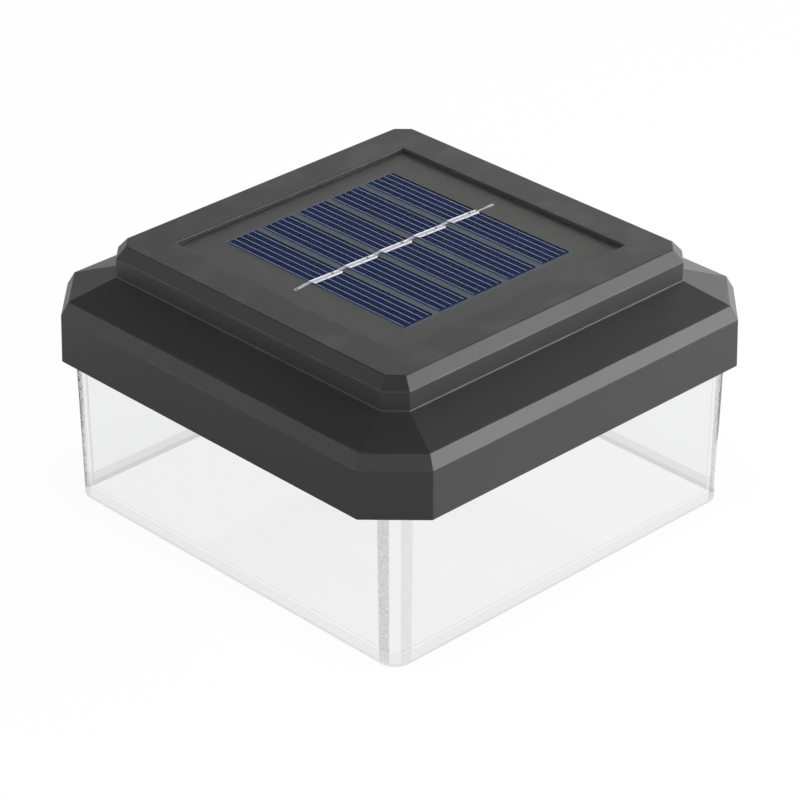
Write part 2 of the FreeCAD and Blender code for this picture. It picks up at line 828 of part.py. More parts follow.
def switch_body():
    """Metal-cased slide switch, open below so that its slider can reach down."""
    body = block((switch_x - switch_length / 2, pcb_y - switch_width / 2, switch_z),
                 (switch_x + switch_length / 2, pcb_y + switch_width / 2, pcb_z))
    half = (slider_length + switch_travel) / 2 + slider_play
    track = block((switch_x - half, pcb_y - slider_width / 2 - slider_play, switch_z + switch_shell),
                  (switch_x + half, pcb_y + slider_width / 2 + slider_play,
                   switch_z + switch_shell + slider_height + 2 * slider_play))
    knob_half = (knob_length + switch_travel) / 2 + slider_play
    mouth = block((switch_x - knob_half, pcb_y - knob_width / 2 - slider_play, switch_z - PAST),
                  (switch_x + knob_half, pcb_y + knob_width / 2 + slider_play,
                   switch_z + switch_shell + slider_play))
    return body.cut([track, mouth]).removeSplitter()


def switch_slider():
    x0 = slider_start()
    z0 = switch_z + switch_shell + slider_play
    base = block((x0, pcb_y - slider_width / 2, z0),
                 (x0 + slider_length, pcb_y + slider_width / 2, z0 + slider_height))
    knob_x = x0 + (slider_length - knob_length) / 2
    knob = block((knob_x, pcb_y - knob_width / 2, cover_z - knob_reach),
                 (knob_x + knob_length, pcb_y + knob_width / 2, z0))
    return base.fuse(knob).removeSplitter()


# ---------------------------------------------------------------- leads
def pad_point(x, inset, height=0.0):
    """A point over the control board's rear edge, that far in from it."""
    return (x, pcb_y + pcb_width / 2 - inset, pcb_top_z + height)


def led_lead(side, name):
    """From the lamp board up over the control board's edge and down to it."""
    x = side * led_pad_x
    y = -(led_board_diameter / 2 - led_pad_inset)
    level = pcb_top_z + lead_rise
    return lead([(x, y, led_board_top_z), (x, y, level), pad_point(x, pad_inset, lead_rise),
                 pad_point(x, pad_inset)], name)


def panel_lead(side, name):
    """From the panel board's underside, through the shell's window, to the control board."""
    x = side * panel_pad_x
    level = pcb_top_z + lead_rise
    return lead([(x, panel_pad_y, board_z), (x, panel_pad_y, level),
                 pad_point(x, panel_pad_inset, lead_rise), pad_point(x, panel_pad_inset)], name)


def battery_lead(side, name):
    """From a contact's tab, past the lamp board, to the control board."""
    tab_x = side * (bay_half_length - contact_sheet / 2)
    tab_y = bay_y - bay_half_width - bay_wall - tab_reach
    tab_z = battery_z + tab_lift
    pad_x = side * battery_pad_x
    return lead([(tab_x, tab_y, tab_z), (tab_x, battery_lead_bend_y, tab_z),
                 pad_point(pad_x, pad_inset, lead_rise), pad_point(pad_x, pad_inset)], name)


# ---------------------------------------------------------------- all pieces
def pieces():
    made = {
        "clear_tub": clear_tub(),
        "cap_shell": cap_shell(),
        "rim_gasket": rim_gasket(),
        "panel_board": panel_board(),
        "panel_adhesive": panel_adhesive(),
        "panel_resin": panel_resin(),
        "ribbon_tails": ribbon_tails(),
        "underside_cover": underside_cover(),
        "cover_screws": cover_screws(),
        "battery_cell": battery_cell(),
        "battery_contact_plus": battery_contact_plus(),
        "battery_contact_spring": battery_contact_spring(),
        "battery_door": battery_door(),
        "door_seal": door_seal(),
        "door_screws": door_screws(),
        "led_board": led_board(),
        "led_board_screws": led_board_screws(),
        "diffuser_lens": diffuser_lens(),
        "control_board": control_board(),
        "board_screws": board_screws(),
        "driver_chip": driver_chip(),
        "choke_coil": choke_coil(),
        "storage_capacitor": storage_capacitor(),
        "switch_body": switch_body(),
        "switch_slider": switch_slider(),
    }
    for number in range(1, cell_count + 1):
        made["solar_cell_%d" % number] = solar_cell(number)
        made["cell_ribbon_%d" % number] = cell_ribbon(number)
    for number in range(1, led_count + 1):
        made["led_%d" % number] = led(number)
    for side, pole in ((1, "plus"), (-1, "minus")):
        for route in (led_lead, panel_lead, battery_lead):
            name = "%s_%s" % (route.__name__, pole)
            made[name] = route(side, name)
    return made


def main():
    os.makedirs("parts", exist_ok=True)
    for name, shape in sorted(pieces().items()):
        solids = shape.Solids
        volume = sum(s.Volume for s in solids)
        state = "ok" if shape.isValid() else "BAD"
        print("%-24s %d solid(s) %10.2f mm3 %s" % (name, len(solids), volume, state))
        shape.exportStep("parts/%s.step" % name)


main()
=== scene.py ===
# %% [markdown]
# # A solar cap light for a deck post
# The light is a clear tub that stands on the post, and a dark moulded head that lifts off it.
# The head carries a solar panel in a recess on top. Under a white cover it holds the battery,
# a small board and the lamp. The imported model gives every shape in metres, with the origin in the
# middle of the tub's underside, +Z up and +Y at the back. This lesson gives the pieces their looks.
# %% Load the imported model
import json
import math

import bmesh
import bpy
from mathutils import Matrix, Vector


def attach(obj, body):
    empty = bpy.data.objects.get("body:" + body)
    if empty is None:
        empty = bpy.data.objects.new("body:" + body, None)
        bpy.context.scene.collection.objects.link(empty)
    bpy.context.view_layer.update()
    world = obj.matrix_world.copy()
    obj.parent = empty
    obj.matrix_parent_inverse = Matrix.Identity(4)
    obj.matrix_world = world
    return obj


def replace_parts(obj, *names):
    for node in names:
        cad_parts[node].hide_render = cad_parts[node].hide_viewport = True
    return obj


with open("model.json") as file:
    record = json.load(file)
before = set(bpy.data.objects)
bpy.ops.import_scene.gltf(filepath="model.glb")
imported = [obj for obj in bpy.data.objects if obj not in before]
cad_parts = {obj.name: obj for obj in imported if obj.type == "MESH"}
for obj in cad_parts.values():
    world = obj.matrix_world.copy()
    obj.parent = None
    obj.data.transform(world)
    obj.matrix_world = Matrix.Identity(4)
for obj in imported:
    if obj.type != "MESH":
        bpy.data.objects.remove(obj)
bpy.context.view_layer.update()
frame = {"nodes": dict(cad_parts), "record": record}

# %% [markdown]
# ## Units
# A maker thinks of this light in millimetres, and Blender's scene is in metres. Sizes and places
# are written here in millimetres, and one value turns them into metres where a mesh is made.
# %% Millimetres
MM = 0.001
HEAD = "head"
CELL_TOP = 64.8
BOARD_TOP = 64.6
RESIN_TOP = 65.2


def in_metres(point):
    """A point in millimetres as a vector in metres."""
    return Vector(point) * MM


print("one millimetre is", MM, "of the scene's unit")

# %% [markdown]
# ## Camera
# The picture of the light was taken with a long lens from above its front corner, so that the
# edges that run away from us stay almost parallel. A long focal length and a camera well back
# give that look. The camera is aimed with a track direction, which needs no angles worked out by
# hand.
# %% Place the camera
CAMERA_LENS = 160.3
CAMERA_SENSOR = 36.0
CAMERA_DISTANCE = 824.2
CAMERA_AZIMUTH = math.radians(45.77)
CAMERA_ELEVATION = math.radians(29.21)
CAMERA_TARGET = (0.12, 0.0, 25.3)


def toward(azimuth, elevation):
    """The direction from the light to something that stands round it, as the camera does."""
    level = math.cos(elevation)
    return Vector((math.sin(azimuth) * level, -math.cos(azimuth) * level, math.sin(elevation)))


def aim(thing, place, target):
    """Put a camera or lamp at a place and turn it to look at a target, both in metres."""
    thing.location = place
    thing.rotation_euler = (target - place).to_track_quat("-Z", "Y").to_euler()


lens = bpy.data.cameras.new("camera")
lens.sensor_width = CAMERA_SENSOR
lens.lens = CAMERA_LENS
camera = bpy.data.objects.new("camera", lens)
bpy.context.scene.collection.objects.link(camera)
target = in_metres(CAMERA_TARGET)
aim(camera, target + toward(CAMERA_AZIMUTH, CAMERA_ELEVATION) * CAMERA_DISTANCE * MM, target)
bpy.context.scene.camera = camera
bpy.context.scene.view_settings.view_transform = "Standard"
print("camera at", [round(c, 3) for c in camera.location])

# %% [markdown]
# ## Shader maths that reads like maths
# A finish is a small network of nodes. Written node by node it is long and hard to read, so one
# class wraps a node's output and lets it be added, multiplied or compared as a number is. A second
# class holds the network of one material and adds any node with one method.
# %% Outputs that can be reckoned with
class Wire:
    """One output of a shader node. Arithmetic on it adds Math nodes to its network."""

    def __init__(self, network, socket):
        self.network = network
        self.socket = socket

    def reckon(self, operation, *values):
        return self.network.node("ShaderNodeMath", {"operation": operation},
                                 dict(enumerate(values)))

    def __add__(self, other):
        return self.reckon("ADD", self, other)

    def __radd__(self, other):
        return self.reckon("ADD", other, self)

    def __sub__(self, other):
        return self.reckon("SUBTRACT", self, other)

    def __rsub__(self, other):
        return self.reckon("SUBTRACT", other, self)

    def __mul__(self, other):
        return self.reckon("MULTIPLY", self, other)

    def __rmul__(self, other):
        return self.reckon("MULTIPLY", other, self)

    def __truediv__(self, other):
        return self.reckon("DIVIDE", self, other)

    def __gt__(self, other):
        return self.reckon("GREATER_THAN", self, other)

    def __lt__(self, other):
        return self.reckon("LESS_THAN", self, other)

    def __abs__(self):
        return self.reckon("ABSOLUTE", self)

    def larger(self, other):
        return self.reckon("MAXIMUM", self, other)

    def smaller(self, other):
        return self.reckon("MINIMUM", self, other)

    def wrapped(self, size):
        """The distance into a pattern that repeats after one size."""
        return self.reckon("FLOORED_MODULO", self, size)

    def ramp(self, start, end):
        """0 at one value and 1 at another, smooth between them."""
        return self.network.node("ShaderNodeMapRange", {"interpolation_type": "SMOOTHSTEP"},
                                 {"Value": self, "From Min": start, "From Max": end})


print("wires can be added, taken away, multiplied, divided and compared")

# %% [markdown]
# ## One network per finish
# The network knows the few patterns that moulded plastic and metal need: where a point of the
# piece is, soft noise, a mix of two colours, and a bump. Patterns follow the piece's own
# coordinates, so that they stay on it when it moves.
# %% Networks of nodes
class Network:
    """The nodes of one material or world."""

    def __init__(self, block):
        block.use_nodes = True
        self.block = block
        self.tree = block.node_tree
        self.tree.nodes.clear()

    def node(self, kind, settings=None, sockets=None, output=0):
        """Add a node: its settings first, then its sockets' values or wires; gives one output."""
        made = self.tree.nodes.new(kind)
        for key, value in (settings or {}).items():
            setattr(made, key, value)
        for key, value in (sockets or {}).items():
            if isinstance(value, Wire):
                self.tree.links.new(value.socket, made.inputs[key])
            else:
                made.inputs[key].default_value = value
        return Wire(self, made.outputs[output])

    def place(self):
        """Where the point is on the piece, in metres."""
        return self.node("ShaderNodeTexCoord", output="Object")

    def along(self):
        """The point's three distances from the origin, in millimetres."""
        split = self.node("ShaderNodeSeparateXYZ", sockets={0: self.place()})
        outputs = split.socket.node.outputs
        return [Wire(self, outputs[i]) / MM for i in range(3)]

    def noise(self, size, detail=2.0, stretch=(1, 1, 1)):
        """Soft noise from 0 to 1 whose blotches are about one size, in millimetres."""
        spread = self.node("ShaderNodeVectorMath", {"operation": "MULTIPLY"},
                           {0: self.place(), 1: [1 / s for s in stretch]})
        return self.node("ShaderNodeTexNoise", sockets={
            "Vector": spread, "Scale": 1 / (size * MM), "Detail": detail})

    def mix(self, mask, first, second):
        """A colour that goes from the first to the second as the mask goes from 0 to 1."""
        colours = {}
        for key, colour in ((0, mask), (6, first), (7, second)):
            colours[key] = colour if key == 0 or isinstance(colour, Wire) else (*colour, 1)
        return self.node("ShaderNodeMix", {"data_type": "RGBA"}, colours, output=2)

    def bump(self, height, depth, under=None):
        """Surface relief: a height from 0 to 1 stands that many millimetres high."""
        sockets = {"Height": height, "Distance": depth * MM, "Strength": 1.0}
        if under is not None:
            sockets["Normal"] = under
        return self.node("ShaderNodeBump", sockets=sockets)

    def facing(self, direction, side, spread):
        """0 to 1 as a direction turns towards a side, between two cosines of their angle."""
        cosine = self.node("ShaderNodeVectorMath", {"operation": "DOT_PRODUCT"},
                           {0: direction, 1: side}, "Value")
        return cosine.ramp(*spread)

    def show(self, shader, kind="ShaderNodeOutputMaterial"):
        """Connect a shader to the output; gives the material or world."""
        end = self.tree.nodes.new(kind)
        self.tree.links.new(shader.socket, end.inputs["Surface"])
        return self.block


SOFT_EDGE = 0.06


def inside(distance, half):
    """1 where a distance is less than a half width, with a soft edge."""
    return abs(distance).ramp(half + SOFT_EDGE, half - SOFT_EDGE)


def round_about(middle, swing, noise):
    """A value that wanders round a middle one as the noise goes from 0 to 1."""
    return middle - swing / 2 + swing * noise


def new_finish(name):
    return Network(bpy.data.materials.new(name))


print("networks ready")

# %% [markdown]
# ## Floor
# The light is shown on a plain pale ground. A pale floor under soft lamps comes out grey in places,
# so most of what the camera sees of it is plain white light from the floor itself, and the rest is
# an ordinary matt surface that still takes the light's shadow. Clear plastic sees the same floor.
# Satin plastic mirrors a softer one, dimmer close by and in front, and brighter to the right and
# far back, where a window would light it.
# The floor lies a hair above the tub's underside, as if the tub were wetted to it, because a film
# of air there would turn the tub's foot into a mirror.
# %% Make the floor
FLOOR_HALF = 3000.0
FLOOR_LEVEL = 0.02
FLOOR_COLOUR = (0.8, 0.8, 0.8, 1)
FLOOR_WHITE_SHARE = 0.94
WHITE = (1, 1, 1, 1)
BLACK = (0, 0, 0, 1)
GLOSS_NEAR = 130.0
GLOSS_FAR = 200.0
GLOSS_BRIGHTEST = 1.8
NEAR_LIGHT = 0.42
FAR_LIGHT = 0.95
RIGHT_SIDE = (0.707, 0.707, 0.0)
RIGHT_SPREAD = (0.1, 0.8)
RIGHT_EXTRA = 0.75
BACK_SIDE = (0.1, 0.99, 0.0)
BACK_SPREAD = (0.3, 0.95)
BACK_EXTRA = 0.6


def make_floor():
    corners = [(-1, -1), (1, -1), (1, 1), (-1, 1)]
    mesh = bpy.data.meshes.new("floor")
    points = [in_metres((x * FLOOR_HALF, y * FLOOR_HALF, FLOOR_LEVEL)) for x, y in corners]
    mesh.from_pydata(points, [], [(0, 1, 2, 3)])
    floor = bpy.data.objects.new("floor", mesh)
    bpy.context.scene.collection.objects.link(floor)
    net = new_finish("floor")
    seen = net.node("ShaderNodeLightPath", output="Is Camera Ray")
    rays = seen.socket.node.outputs
    through = Wire(net, rays["Is Transmission Ray"])
    glossy = Wire(net, rays["Is Glossy Ray"])
    distance = net.node("ShaderNodeVectorMath", {"operation": "LENGTH"}, {0: net.place()}, "Value")
    away = (distance / MM).ramp(GLOSS_NEAR, GLOSS_FAR)
    outward = net.node("ShaderNodeVectorMath", {"operation": "NORMALIZE"}, {0: net.place()})
    near = NEAR_LIGHT + RIGHT_EXTRA * net.facing(outward, RIGHT_SIDE, RIGHT_SPREAD)
    far = FAR_LIGHT + BACK_EXTRA * net.facing(outward, BACK_SIDE, BACK_SPREAD)
    level = near + (far - near) * away
    matt = net.node("ShaderNodeBsdfDiffuse", sockets={"Color": FLOOR_COLOUR})
    white = net.node("ShaderNodeEmission", sockets={"Color": WHITE, "Strength": 1.0})
    bright = net.node("ShaderNodeEmission", sockets={"Color": WHITE, "Strength": GLOSS_BRIGHTEST})
    black = net.node("ShaderNodeEmission", sockets={"Color": BLACK, "Strength": 1.0})
    mirrored = net.node("ShaderNodeMixShader", sockets={
        0: level / GLOSS_BRIGHTEST, 1: black, 2: bright})
    plain = net.node("ShaderNodeMixShader", sockets={
        0: seen.larger(through) * FLOOR_WHITE_SHARE, 1: matt, 2: white})
    both = net.node("ShaderNodeMixShader", sockets={
        0: glossy * (1 - through), 1: plain, 2: mirrored})
    mesh.materials.append(net.show(both))
    return floor


floor = make_floor()
print("floor", floor.name, "reaches", FLOOR_HALF, "mm each way")

# %% [markdown]
# ## World
# Satin dark plastic shows its shape by what it mirrors. The sloping faces of the head are darkest
# because they mirror the dark ceiling, and its steeper faces mirror pale walls. So the world is a
# room with pale walls and a dark ceiling. The camera itself, and clear plastic, see plain white.
# %% Make the world
WALL_LIGHT = 1.2
MIDDLE_LIGHT = 0.5
CEILING_LIGHT = 0.06
WALL_TOP = 0.30
MIDDLE_HEIGHT = 0.52
CEILING_HEIGHT = 0.82
DIM_SIDE = (-0.92, 0.36, 0.15)
DIM_SHARE = 0.5
SIDE_SPREAD = (0.55, 0.95)
BRIGHT_SIDE = (-0.05, 0.95, 0.25)
BRIGHT_EXTRA = 1.0
ROOM_BRIGHTEST = 2.4


def make_world():
    net = Network(bpy.data.worlds.new("studio"))
    direction = net.node("ShaderNodeTexCoord", output="Generated")
    height = net.node("ShaderNodeSeparateXYZ", sockets={0: direction}, output=2)
    lower = height.ramp(WALL_TOP, MIDDLE_HEIGHT)
    upper = height.ramp(MIDDLE_HEIGHT, CEILING_HEIGHT)
    dim = DIM_SHARE * net.facing(direction, DIM_SIDE, SIDE_SPREAD)
    bright = BRIGHT_EXTRA * net.facing(direction, BRIGHT_SIDE, SIDE_SPREAD)
    level = WALL_LIGHT - (WALL_LIGHT - MIDDLE_LIGHT) * lower
    level = (level - (MIDDLE_LIGHT - CEILING_LIGHT) * upper) * (1 - dim + bright)
    shade = net.mix(level / ROOM_BRIGHTEST, (0, 0, 0), (1, 1, 1))
    room = net.node("ShaderNodeBackground", sockets={"Color": shade, "Strength": ROOM_BRIGHTEST})
    white = net.node("ShaderNodeBackground", sockets={"Color": WHITE, "Strength": 1.0})
    seen = net.node("ShaderNodeLightPath", output="Is Camera Ray")
    through = Wire(net, seen.socket.node.outputs["Is Transmission Ray"])
    both = net.node("ShaderNodeMixShader", sockets={0: seen.larger(through), 1: room, 2: white})
    net.show(both, "ShaderNodeOutputWorld")
    return net.block


bpy.context.scene.world = make_world()
print("world:", bpy.context.scene.world.name)

# %% [markdown]
# ## Lamps
# Three soft boxes do the rest. One hangs almost straight above and lights the top plainly, without
# showing in any sheen. One is large, low and to the right, and puts the broad bright sheen on the
# bevels of that side. A weak one by the camera lifts the front corner. A lamp's strength is worked
# out from how bright its face looks.
# %% Hang the lamps
LAMPS = {
    # name: azimuth, elevation (degrees), distance, width, height (mm), brightness, is it mirrored
    "soft_box_above": (46.0, 79.0, 1100.0, 420.0, 420.0, 14.5, False),
    "soft_box_right": (127.0, 21.0, 900.0, 620.0, 520.0, 6.0, True),
    "soft_box_front": (46.0, 30.0, 1300.0, 420.0, 320.0, 1.0, True),
}


def hang_lamp(name, azimuth, elevation, distance, width, height, brightness, mirrored):
    light = bpy.data.lights.new(name, "AREA")
    light.shape = "RECTANGLE"
    light.size = width * MM
    light.size_y = height * MM
    light.energy = brightness * math.pi * light.size * light.size_y
    lamp = bpy.data.objects.new(name, light)
    bpy.context.scene.collection.objects.link(lamp)
    middle = in_metres(CAMERA_TARGET)
    place = middle + toward(math.radians(azimuth), math.radians(elevation)) * distance * MM
    aim(lamp, place, middle)
    lamp.visible_camera = False
    lamp.visible_transmission = False
    lamp.visible_glossy = mirrored
    print(name, "power", round(light.energy, 2), "W")


for lamp_name, facts in LAMPS.items():
    hang_lamp(lamp_name, *facts)

# %% [markdown]
# ## Dark moulded plastic
# The head is one moulding in near-black plastic with a fine spark-eroded grain, which scatters the
# light into a satin sheen. A plain dark colour would look like paper, so the grain is a very
# shallow bump and the sheen varies a little. The creases, where hands and sleeves rub, are a touch
# smoother, and lighter as partly wear and partly a painted highlight along their lines. The creases
# lie at known heights, so their lines are found from the height alone.
# The low wall round the solar panel is painted a little paler, as painted light that lifts its
# shade.
# %% Head finish
HEAD_DARK = (0.0145, 0.0145, 0.0150)
HEAD_LIGHT = (0.0195, 0.0195, 0.0200)
HEAD_WORN_HIGHLIGHT = (0.032, 0.032, 0.033)
HEAD_RECESS_PAINTED_LIGHT = (0.040, 0.040, 0.041)
RECESS_SIDE = 37.2
RECESS_FADE = 0.4
CREASE_LEVELS = (51.0, 54.2, 58.3, 62.95, 65.7)
CREASE_HALF = 0.35
GRAIN_SIZE = 0.32
GRAIN_DEPTH = 0.006
WEAR_HIGHLIGHT_SIZE = 9.0
WEAR_HIGHLIGHT_RANGE = (0.45, 0.7)
WEAR_HIGHLIGHT_SHARE = 0.5
HEAD_CLOUD_SIZE = 38.0
HEAD_ROUGHNESS = 0.40
SHEEN_SIZE = 14.0
SHEEN_SWING = 0.05


def head_finish():
    net = new_finish("head_plastic")
    x, y, height = net.along()
    # painted light: the low wall round the panel gets a paler colour that lifts its shade
    recess = (abs(x).larger(abs(y)) < RECESS_SIDE) * (height > BOARD_TOP)
    recess = recess * height.ramp(RESIN_TOP + RECESS_FADE, RESIN_TOP)
    # wear and painted highlight: thin lighter lines along the creases
    crease = 0.0
    for level in CREASE_LEVELS:
        line = 1 - abs(height - level).ramp(CREASE_HALF / 3, CREASE_HALF)
        crease = line.larger(crease)
    rubbed_highlight = crease * net.noise(WEAR_HIGHLIGHT_SIZE, 4.0).ramp(*WEAR_HIGHLIGHT_RANGE)
    cloud = net.noise(HEAD_CLOUD_SIZE, 3.0)
    colour = net.mix(cloud, HEAD_DARK, HEAD_LIGHT)
    colour = net.mix(rubbed_highlight * WEAR_HIGHLIGHT_SHARE, colour, HEAD_WORN_HIGHLIGHT)
    colour = net.mix(recess, colour, HEAD_RECESS_PAINTED_LIGHT)
    sheen = HEAD_ROUGHNESS + SHEEN_SWING * net.noise(SHEEN_SIZE, 3.0) - SHEEN_SWING * rubbed_highlight
    grain = net.bump(net.noise(GRAIN_SIZE, 2.0), GRAIN_DEPTH)
    return net.show(net.node("ShaderNodeBsdfPrincipled", sockets={
        "Base Color": colour, "Roughness": sheen, "IOR": 1.5, "Normal": grain}))


FINISHES = {"head_plastic": head_finish()}
print("made", *FINISHES)

# %% [markdown]
# ## Clear plastic
# The tub is a clear moulding with walls 2.4 mm thick. Real refraction bends what lies behind it and
# gives the edges their grey lines, so the shader is true clear plastic with a very slight tint. A
# clear body would throw a black shadow, because the renderer doesn't send lamp light through a
# bend, so for shadow rays it is swapped for a plain tinted see-through surface. The small rounding
# between walls and floor would draw a hard line as a lens does, so it is plain see-through too. The
# walls are not quite flat. Outside each corner two strips carry a real stipple, and their tint is
# darkened as painted shade, more on the left than on the right. The outer wall's lowest band and
# its foot edge are tinted darker as painted shade too.
# %% Tub finish
TUB_TINT = (0.934, 0.936, 0.936)
TUB_STIPPLED_SHADE_TINT = (0.42, 0.42, 0.425)
TUB_BAND_SHADE_TINT = (0.72, 0.72, 0.72)
TUB_FOOT_SHADE_TINT = (0.58, 0.58, 0.58)
TUB_SHADOW_TINT = (0.93, 0.93, 0.93, 1)
TUB_IOR = 1.15
TUB_ROUGHNESS = 0.02
CORNER_START = 48.4     # the stipple begins this far out, in millimetres
CORNER_FULL = 48.8
RIDGE_HALF = 1.6
RIDGE_EDGE = 2.0
FOOT_TOP = 1.0
FOOT_FADE = 0.3
BAND_TOP = 3.65
BAND_FADE = 0.1
OUTER_START = 51.9
OUTER_FULL = 52.0
RIGHT_SHADE_SHARE = 0.5
ROUNDING_FOOT = 1.0
ROUNDING_TOP = 2.95
ROUNDING_SIDE = 50.0
WAVE_SIZE = 26.0
WAVE_DEPTH = 0.05
STIPPLE_SIZE = 0.5
STIPPLE_DEPTH = 0.03
STIPPLE_RANGE = (0.36, 0.64)
STIPPLE_EVEN = 0.7      # the share of the stipple's grey that doesn't follow its pits


def swapped_for_shadows(net, shader, tint):
    """The shader, but a plain see-through surface to lamps."""
    shadow = net.node("ShaderNodeLightPath", output="Is Shadow Ray")
    open_air = net.node("ShaderNodeBsdfTransparent", sockets={"Color": tint})
    return net.node("ShaderNodeMixShader", sockets={0: shadow, 1: shader, 2: open_air})


def tub_finish():
    net = new_finish("clear_plastic")
    x, y, z = net.along()
    reach = abs(x).larger(abs(y))
    outer = reach.ramp(OUTER_START, OUTER_FULL)
    corner = abs(x).smaller(abs(y)).ramp(CORNER_START, CORNER_FULL)
    ridge = abs(abs(x) - abs(y)).ramp(RIDGE_EDGE, RIDGE_HALF)
    left = x * y * (abs(x) - abs(y)) > 0
    # painted shade: the corner strips are tinted grey, darker on the left than on the right; their
    # stipple is real relief
    stipple_and_shade = outer * corner * (1 - ridge) * (RIGHT_SHADE_SHARE + (1 - RIGHT_SHADE_SHARE) * left)
    pits = net.noise(STIPPLE_SIZE, 1.0).ramp(*STIPPLE_RANGE)
    # painted shade: the outer wall's lowest band and its foot edge are tinted darker
    band = outer * z.ramp(BAND_TOP + BAND_FADE, BAND_TOP - BAND_FADE)
    foot = outer * z.ramp(FOOT_TOP + FOOT_FADE, FOOT_TOP - FOOT_FADE)
    tint = net.mix(band, TUB_TINT, TUB_BAND_SHADE_TINT)
    grey = stipple_and_shade * (STIPPLE_EVEN + (1 - STIPPLE_EVEN) * pits)
    tint = net.mix(grey, tint, TUB_STIPPLED_SHADE_TINT)
    tint = net.mix(foot, tint, TUB_FOOT_SHADE_TINT)
    wave = net.bump(net.noise(WAVE_SIZE, 1.0), WAVE_DEPTH)
    stipple = net.bump(pits * stipple_and_shade, STIPPLE_DEPTH, wave)
    clear = net.node("ShaderNodeBsdfPrincipled", sockets={
        "Base Color": tint, "Roughness": TUB_ROUGHNESS, "IOR": TUB_IOR,
        "Transmission Weight": 1.0, "Normal": stipple})
    rounding = (1 - outer) * (z < ROUNDING_TOP) * (z > ROUNDING_FOOT) * (reach > ROUNDING_SIDE)
    open_air = net.node("ShaderNodeBsdfTransparent", sockets={"Color": TUB_SHADOW_TINT})
    clear = net.node("ShaderNodeMixShader", sockets={0: rounding, 1: clear, 2: open_air})
    return net.show(swapped_for_shadows(net, clear, TUB_SHADOW_TINT))


FINISHES["clear_plastic"] = tub_finish()
print("made clear_plastic, index", TUB_IOR)

# %% [markdown]
# ## Solar strips and their board
# Five strips of dark blue silicon lie on a grey board. Silicon is blue because of a thin coating
# that swallows the other colours, and it varies slightly from place to place. The board is a little
# greener and paler between the strips than round them. The strips' faces stay as packed, and the
# pattern comes from soft noise drawn out along each strip.
# %% Silicon and board finishes
CELL_DEEP = (0.0035, 0.0085, 0.034)
CELL_BLUE = (0.0080, 0.0165, 0.058)
CELL_VIOLET = (0.0120, 0.0100, 0.050)
CELL_EDGE = (0.0030, 0.0050, 0.009)
CELL_SHINE = 0.0
STREAK_SIZE = 2.2
STREAK_STRETCH = (9, 1, 1)
VIOLET_SIZE = 11.0
VIOLET_RANGE = (0.55, 0.85)
VIOLET_SHARE = 0.6
BOARD_GREY = (0.037, 0.0365, 0.039)
BOARD_GREEN_GREY = (0.046, 0.063, 0.094)
BOARD_SHADED = (0.008, 0.008, 0.008)
SHADE_START = 34.0
SHADE_END = 36.4
CELL_PITCH = 10.82
CELL_WIDTH = 8.62
EDGE_BAND = 0.5
EDGE_FADE = 0.15
FIELD_HALF = (29.3, 26.2)
FIELD_EDGE = 0.5
FIELD_SHIFT = 0.5
WEAVE_SIZE = 0.9
GREEN_EVEN = 0.75       # the share of the board's green that doesn't follow its weave


def along_strip(y):
    """How far a point lies from the front edge of its own strip."""
    return (y + 2 * CELL_PITCH + CELL_WIDTH / 2).wrapped(CELL_PITCH)


def silicon_finish():
    net = new_finish("silicon")
    into = along_strip(net.along()[1])
    start = CELL_WIDTH - EDGE_BAND
    edge = into.ramp(start - EDGE_FADE, start + EDGE_FADE)
    streak = net.noise(STREAK_SIZE, 4.0, STREAK_STRETCH)
    cloud = net.noise(VIOLET_SIZE, 2.0)
    colour = net.mix(streak, CELL_DEEP, CELL_BLUE)
    colour = net.mix(cloud.ramp(*VIOLET_RANGE) * VIOLET_SHARE, colour, CELL_VIOLET)
    colour = net.mix(edge, colour, CELL_EDGE)
    return net.show(net.node("ShaderNodeBsdfPrincipled", sockets={
        "Base Color": colour, "Roughness": 0.30 + 0.1 * streak, "Specular IOR Level": CELL_SHINE,
        "Normal": net.bump(net.noise(0.3, 1.0), 0.002)}))


def panel_board_finish():
    net = new_finish("panel_backing")
    x, y = net.along()[:2]
    across = abs(x + FIELD_SHIFT).ramp(FIELD_HALF[0] + FIELD_EDGE, FIELD_HALF[0])
    back = abs(y).ramp(FIELD_HALF[1] + FIELD_EDGE, FIELD_HALF[1])
    weave = net.noise(WEAVE_SIZE, 3.0)
    green = across * back * (GREEN_EVEN + (1 - GREEN_EVEN) * weave)
    colour = net.mix(green, BOARD_GREY, BOARD_GREEN_GREY)
    # painted shade: the board darkens towards the recess wall, where the wall shades it
    colour = net.mix(abs(x).larger(abs(y)).ramp(SHADE_START, SHADE_END), colour, BOARD_SHADED)
    return net.show(net.node("ShaderNodeBsdfPrincipled", sockets={
        "Base Color": colour, "Roughness": 0.42 + 0.1 * weave,
        "Normal": net.bump(weave, 0.003)}))


FINISHES["silicon"] = silicon_finish()
FINISHES["panel_backing"] = panel_board_finish()
print("made silicon and panel_backing")

# %% [markdown]
# ## Tinned copper
# The ribbons and the fine lines that gather the current are copper dipped in tin. Solder has run
# over them, so they are pale and soft-edged rather than mirror-bright, and bluish between the
# raised edges, where the strip below shows its colour.
# %% Tin finish
TIN_PALE = (0.96, 0.97, 1.00)
TIN_DULL = (0.40, 0.41, 0.50)
TIN_VALLEY = (0.46, 0.46, 0.58)
TIN_PRINTED = (0.19, 0.25, 0.40)
TIN_PIT = (0.05, 0.05, 0.06)
PIT_PLACE = 6.2
PIT_HALF = 0.32
PIT_X = (-1.15, 0.28)
VALLEY_LEVEL = CELL_TOP + 0.095
VALLEY_FADE = 0.012
LINE_LEVEL = CELL_TOP + 0.05
LINE_FADE = 0.008
LINE_START = BOARD_TOP + 0.18
LINE_FULL = BOARD_TOP + 0.19
BLOT_SIZE = 1.1
BLOT_RANGE = (0.52, 0.66)
BLOT_SHARE = 0.5
TIN_METALLIC = 0.3


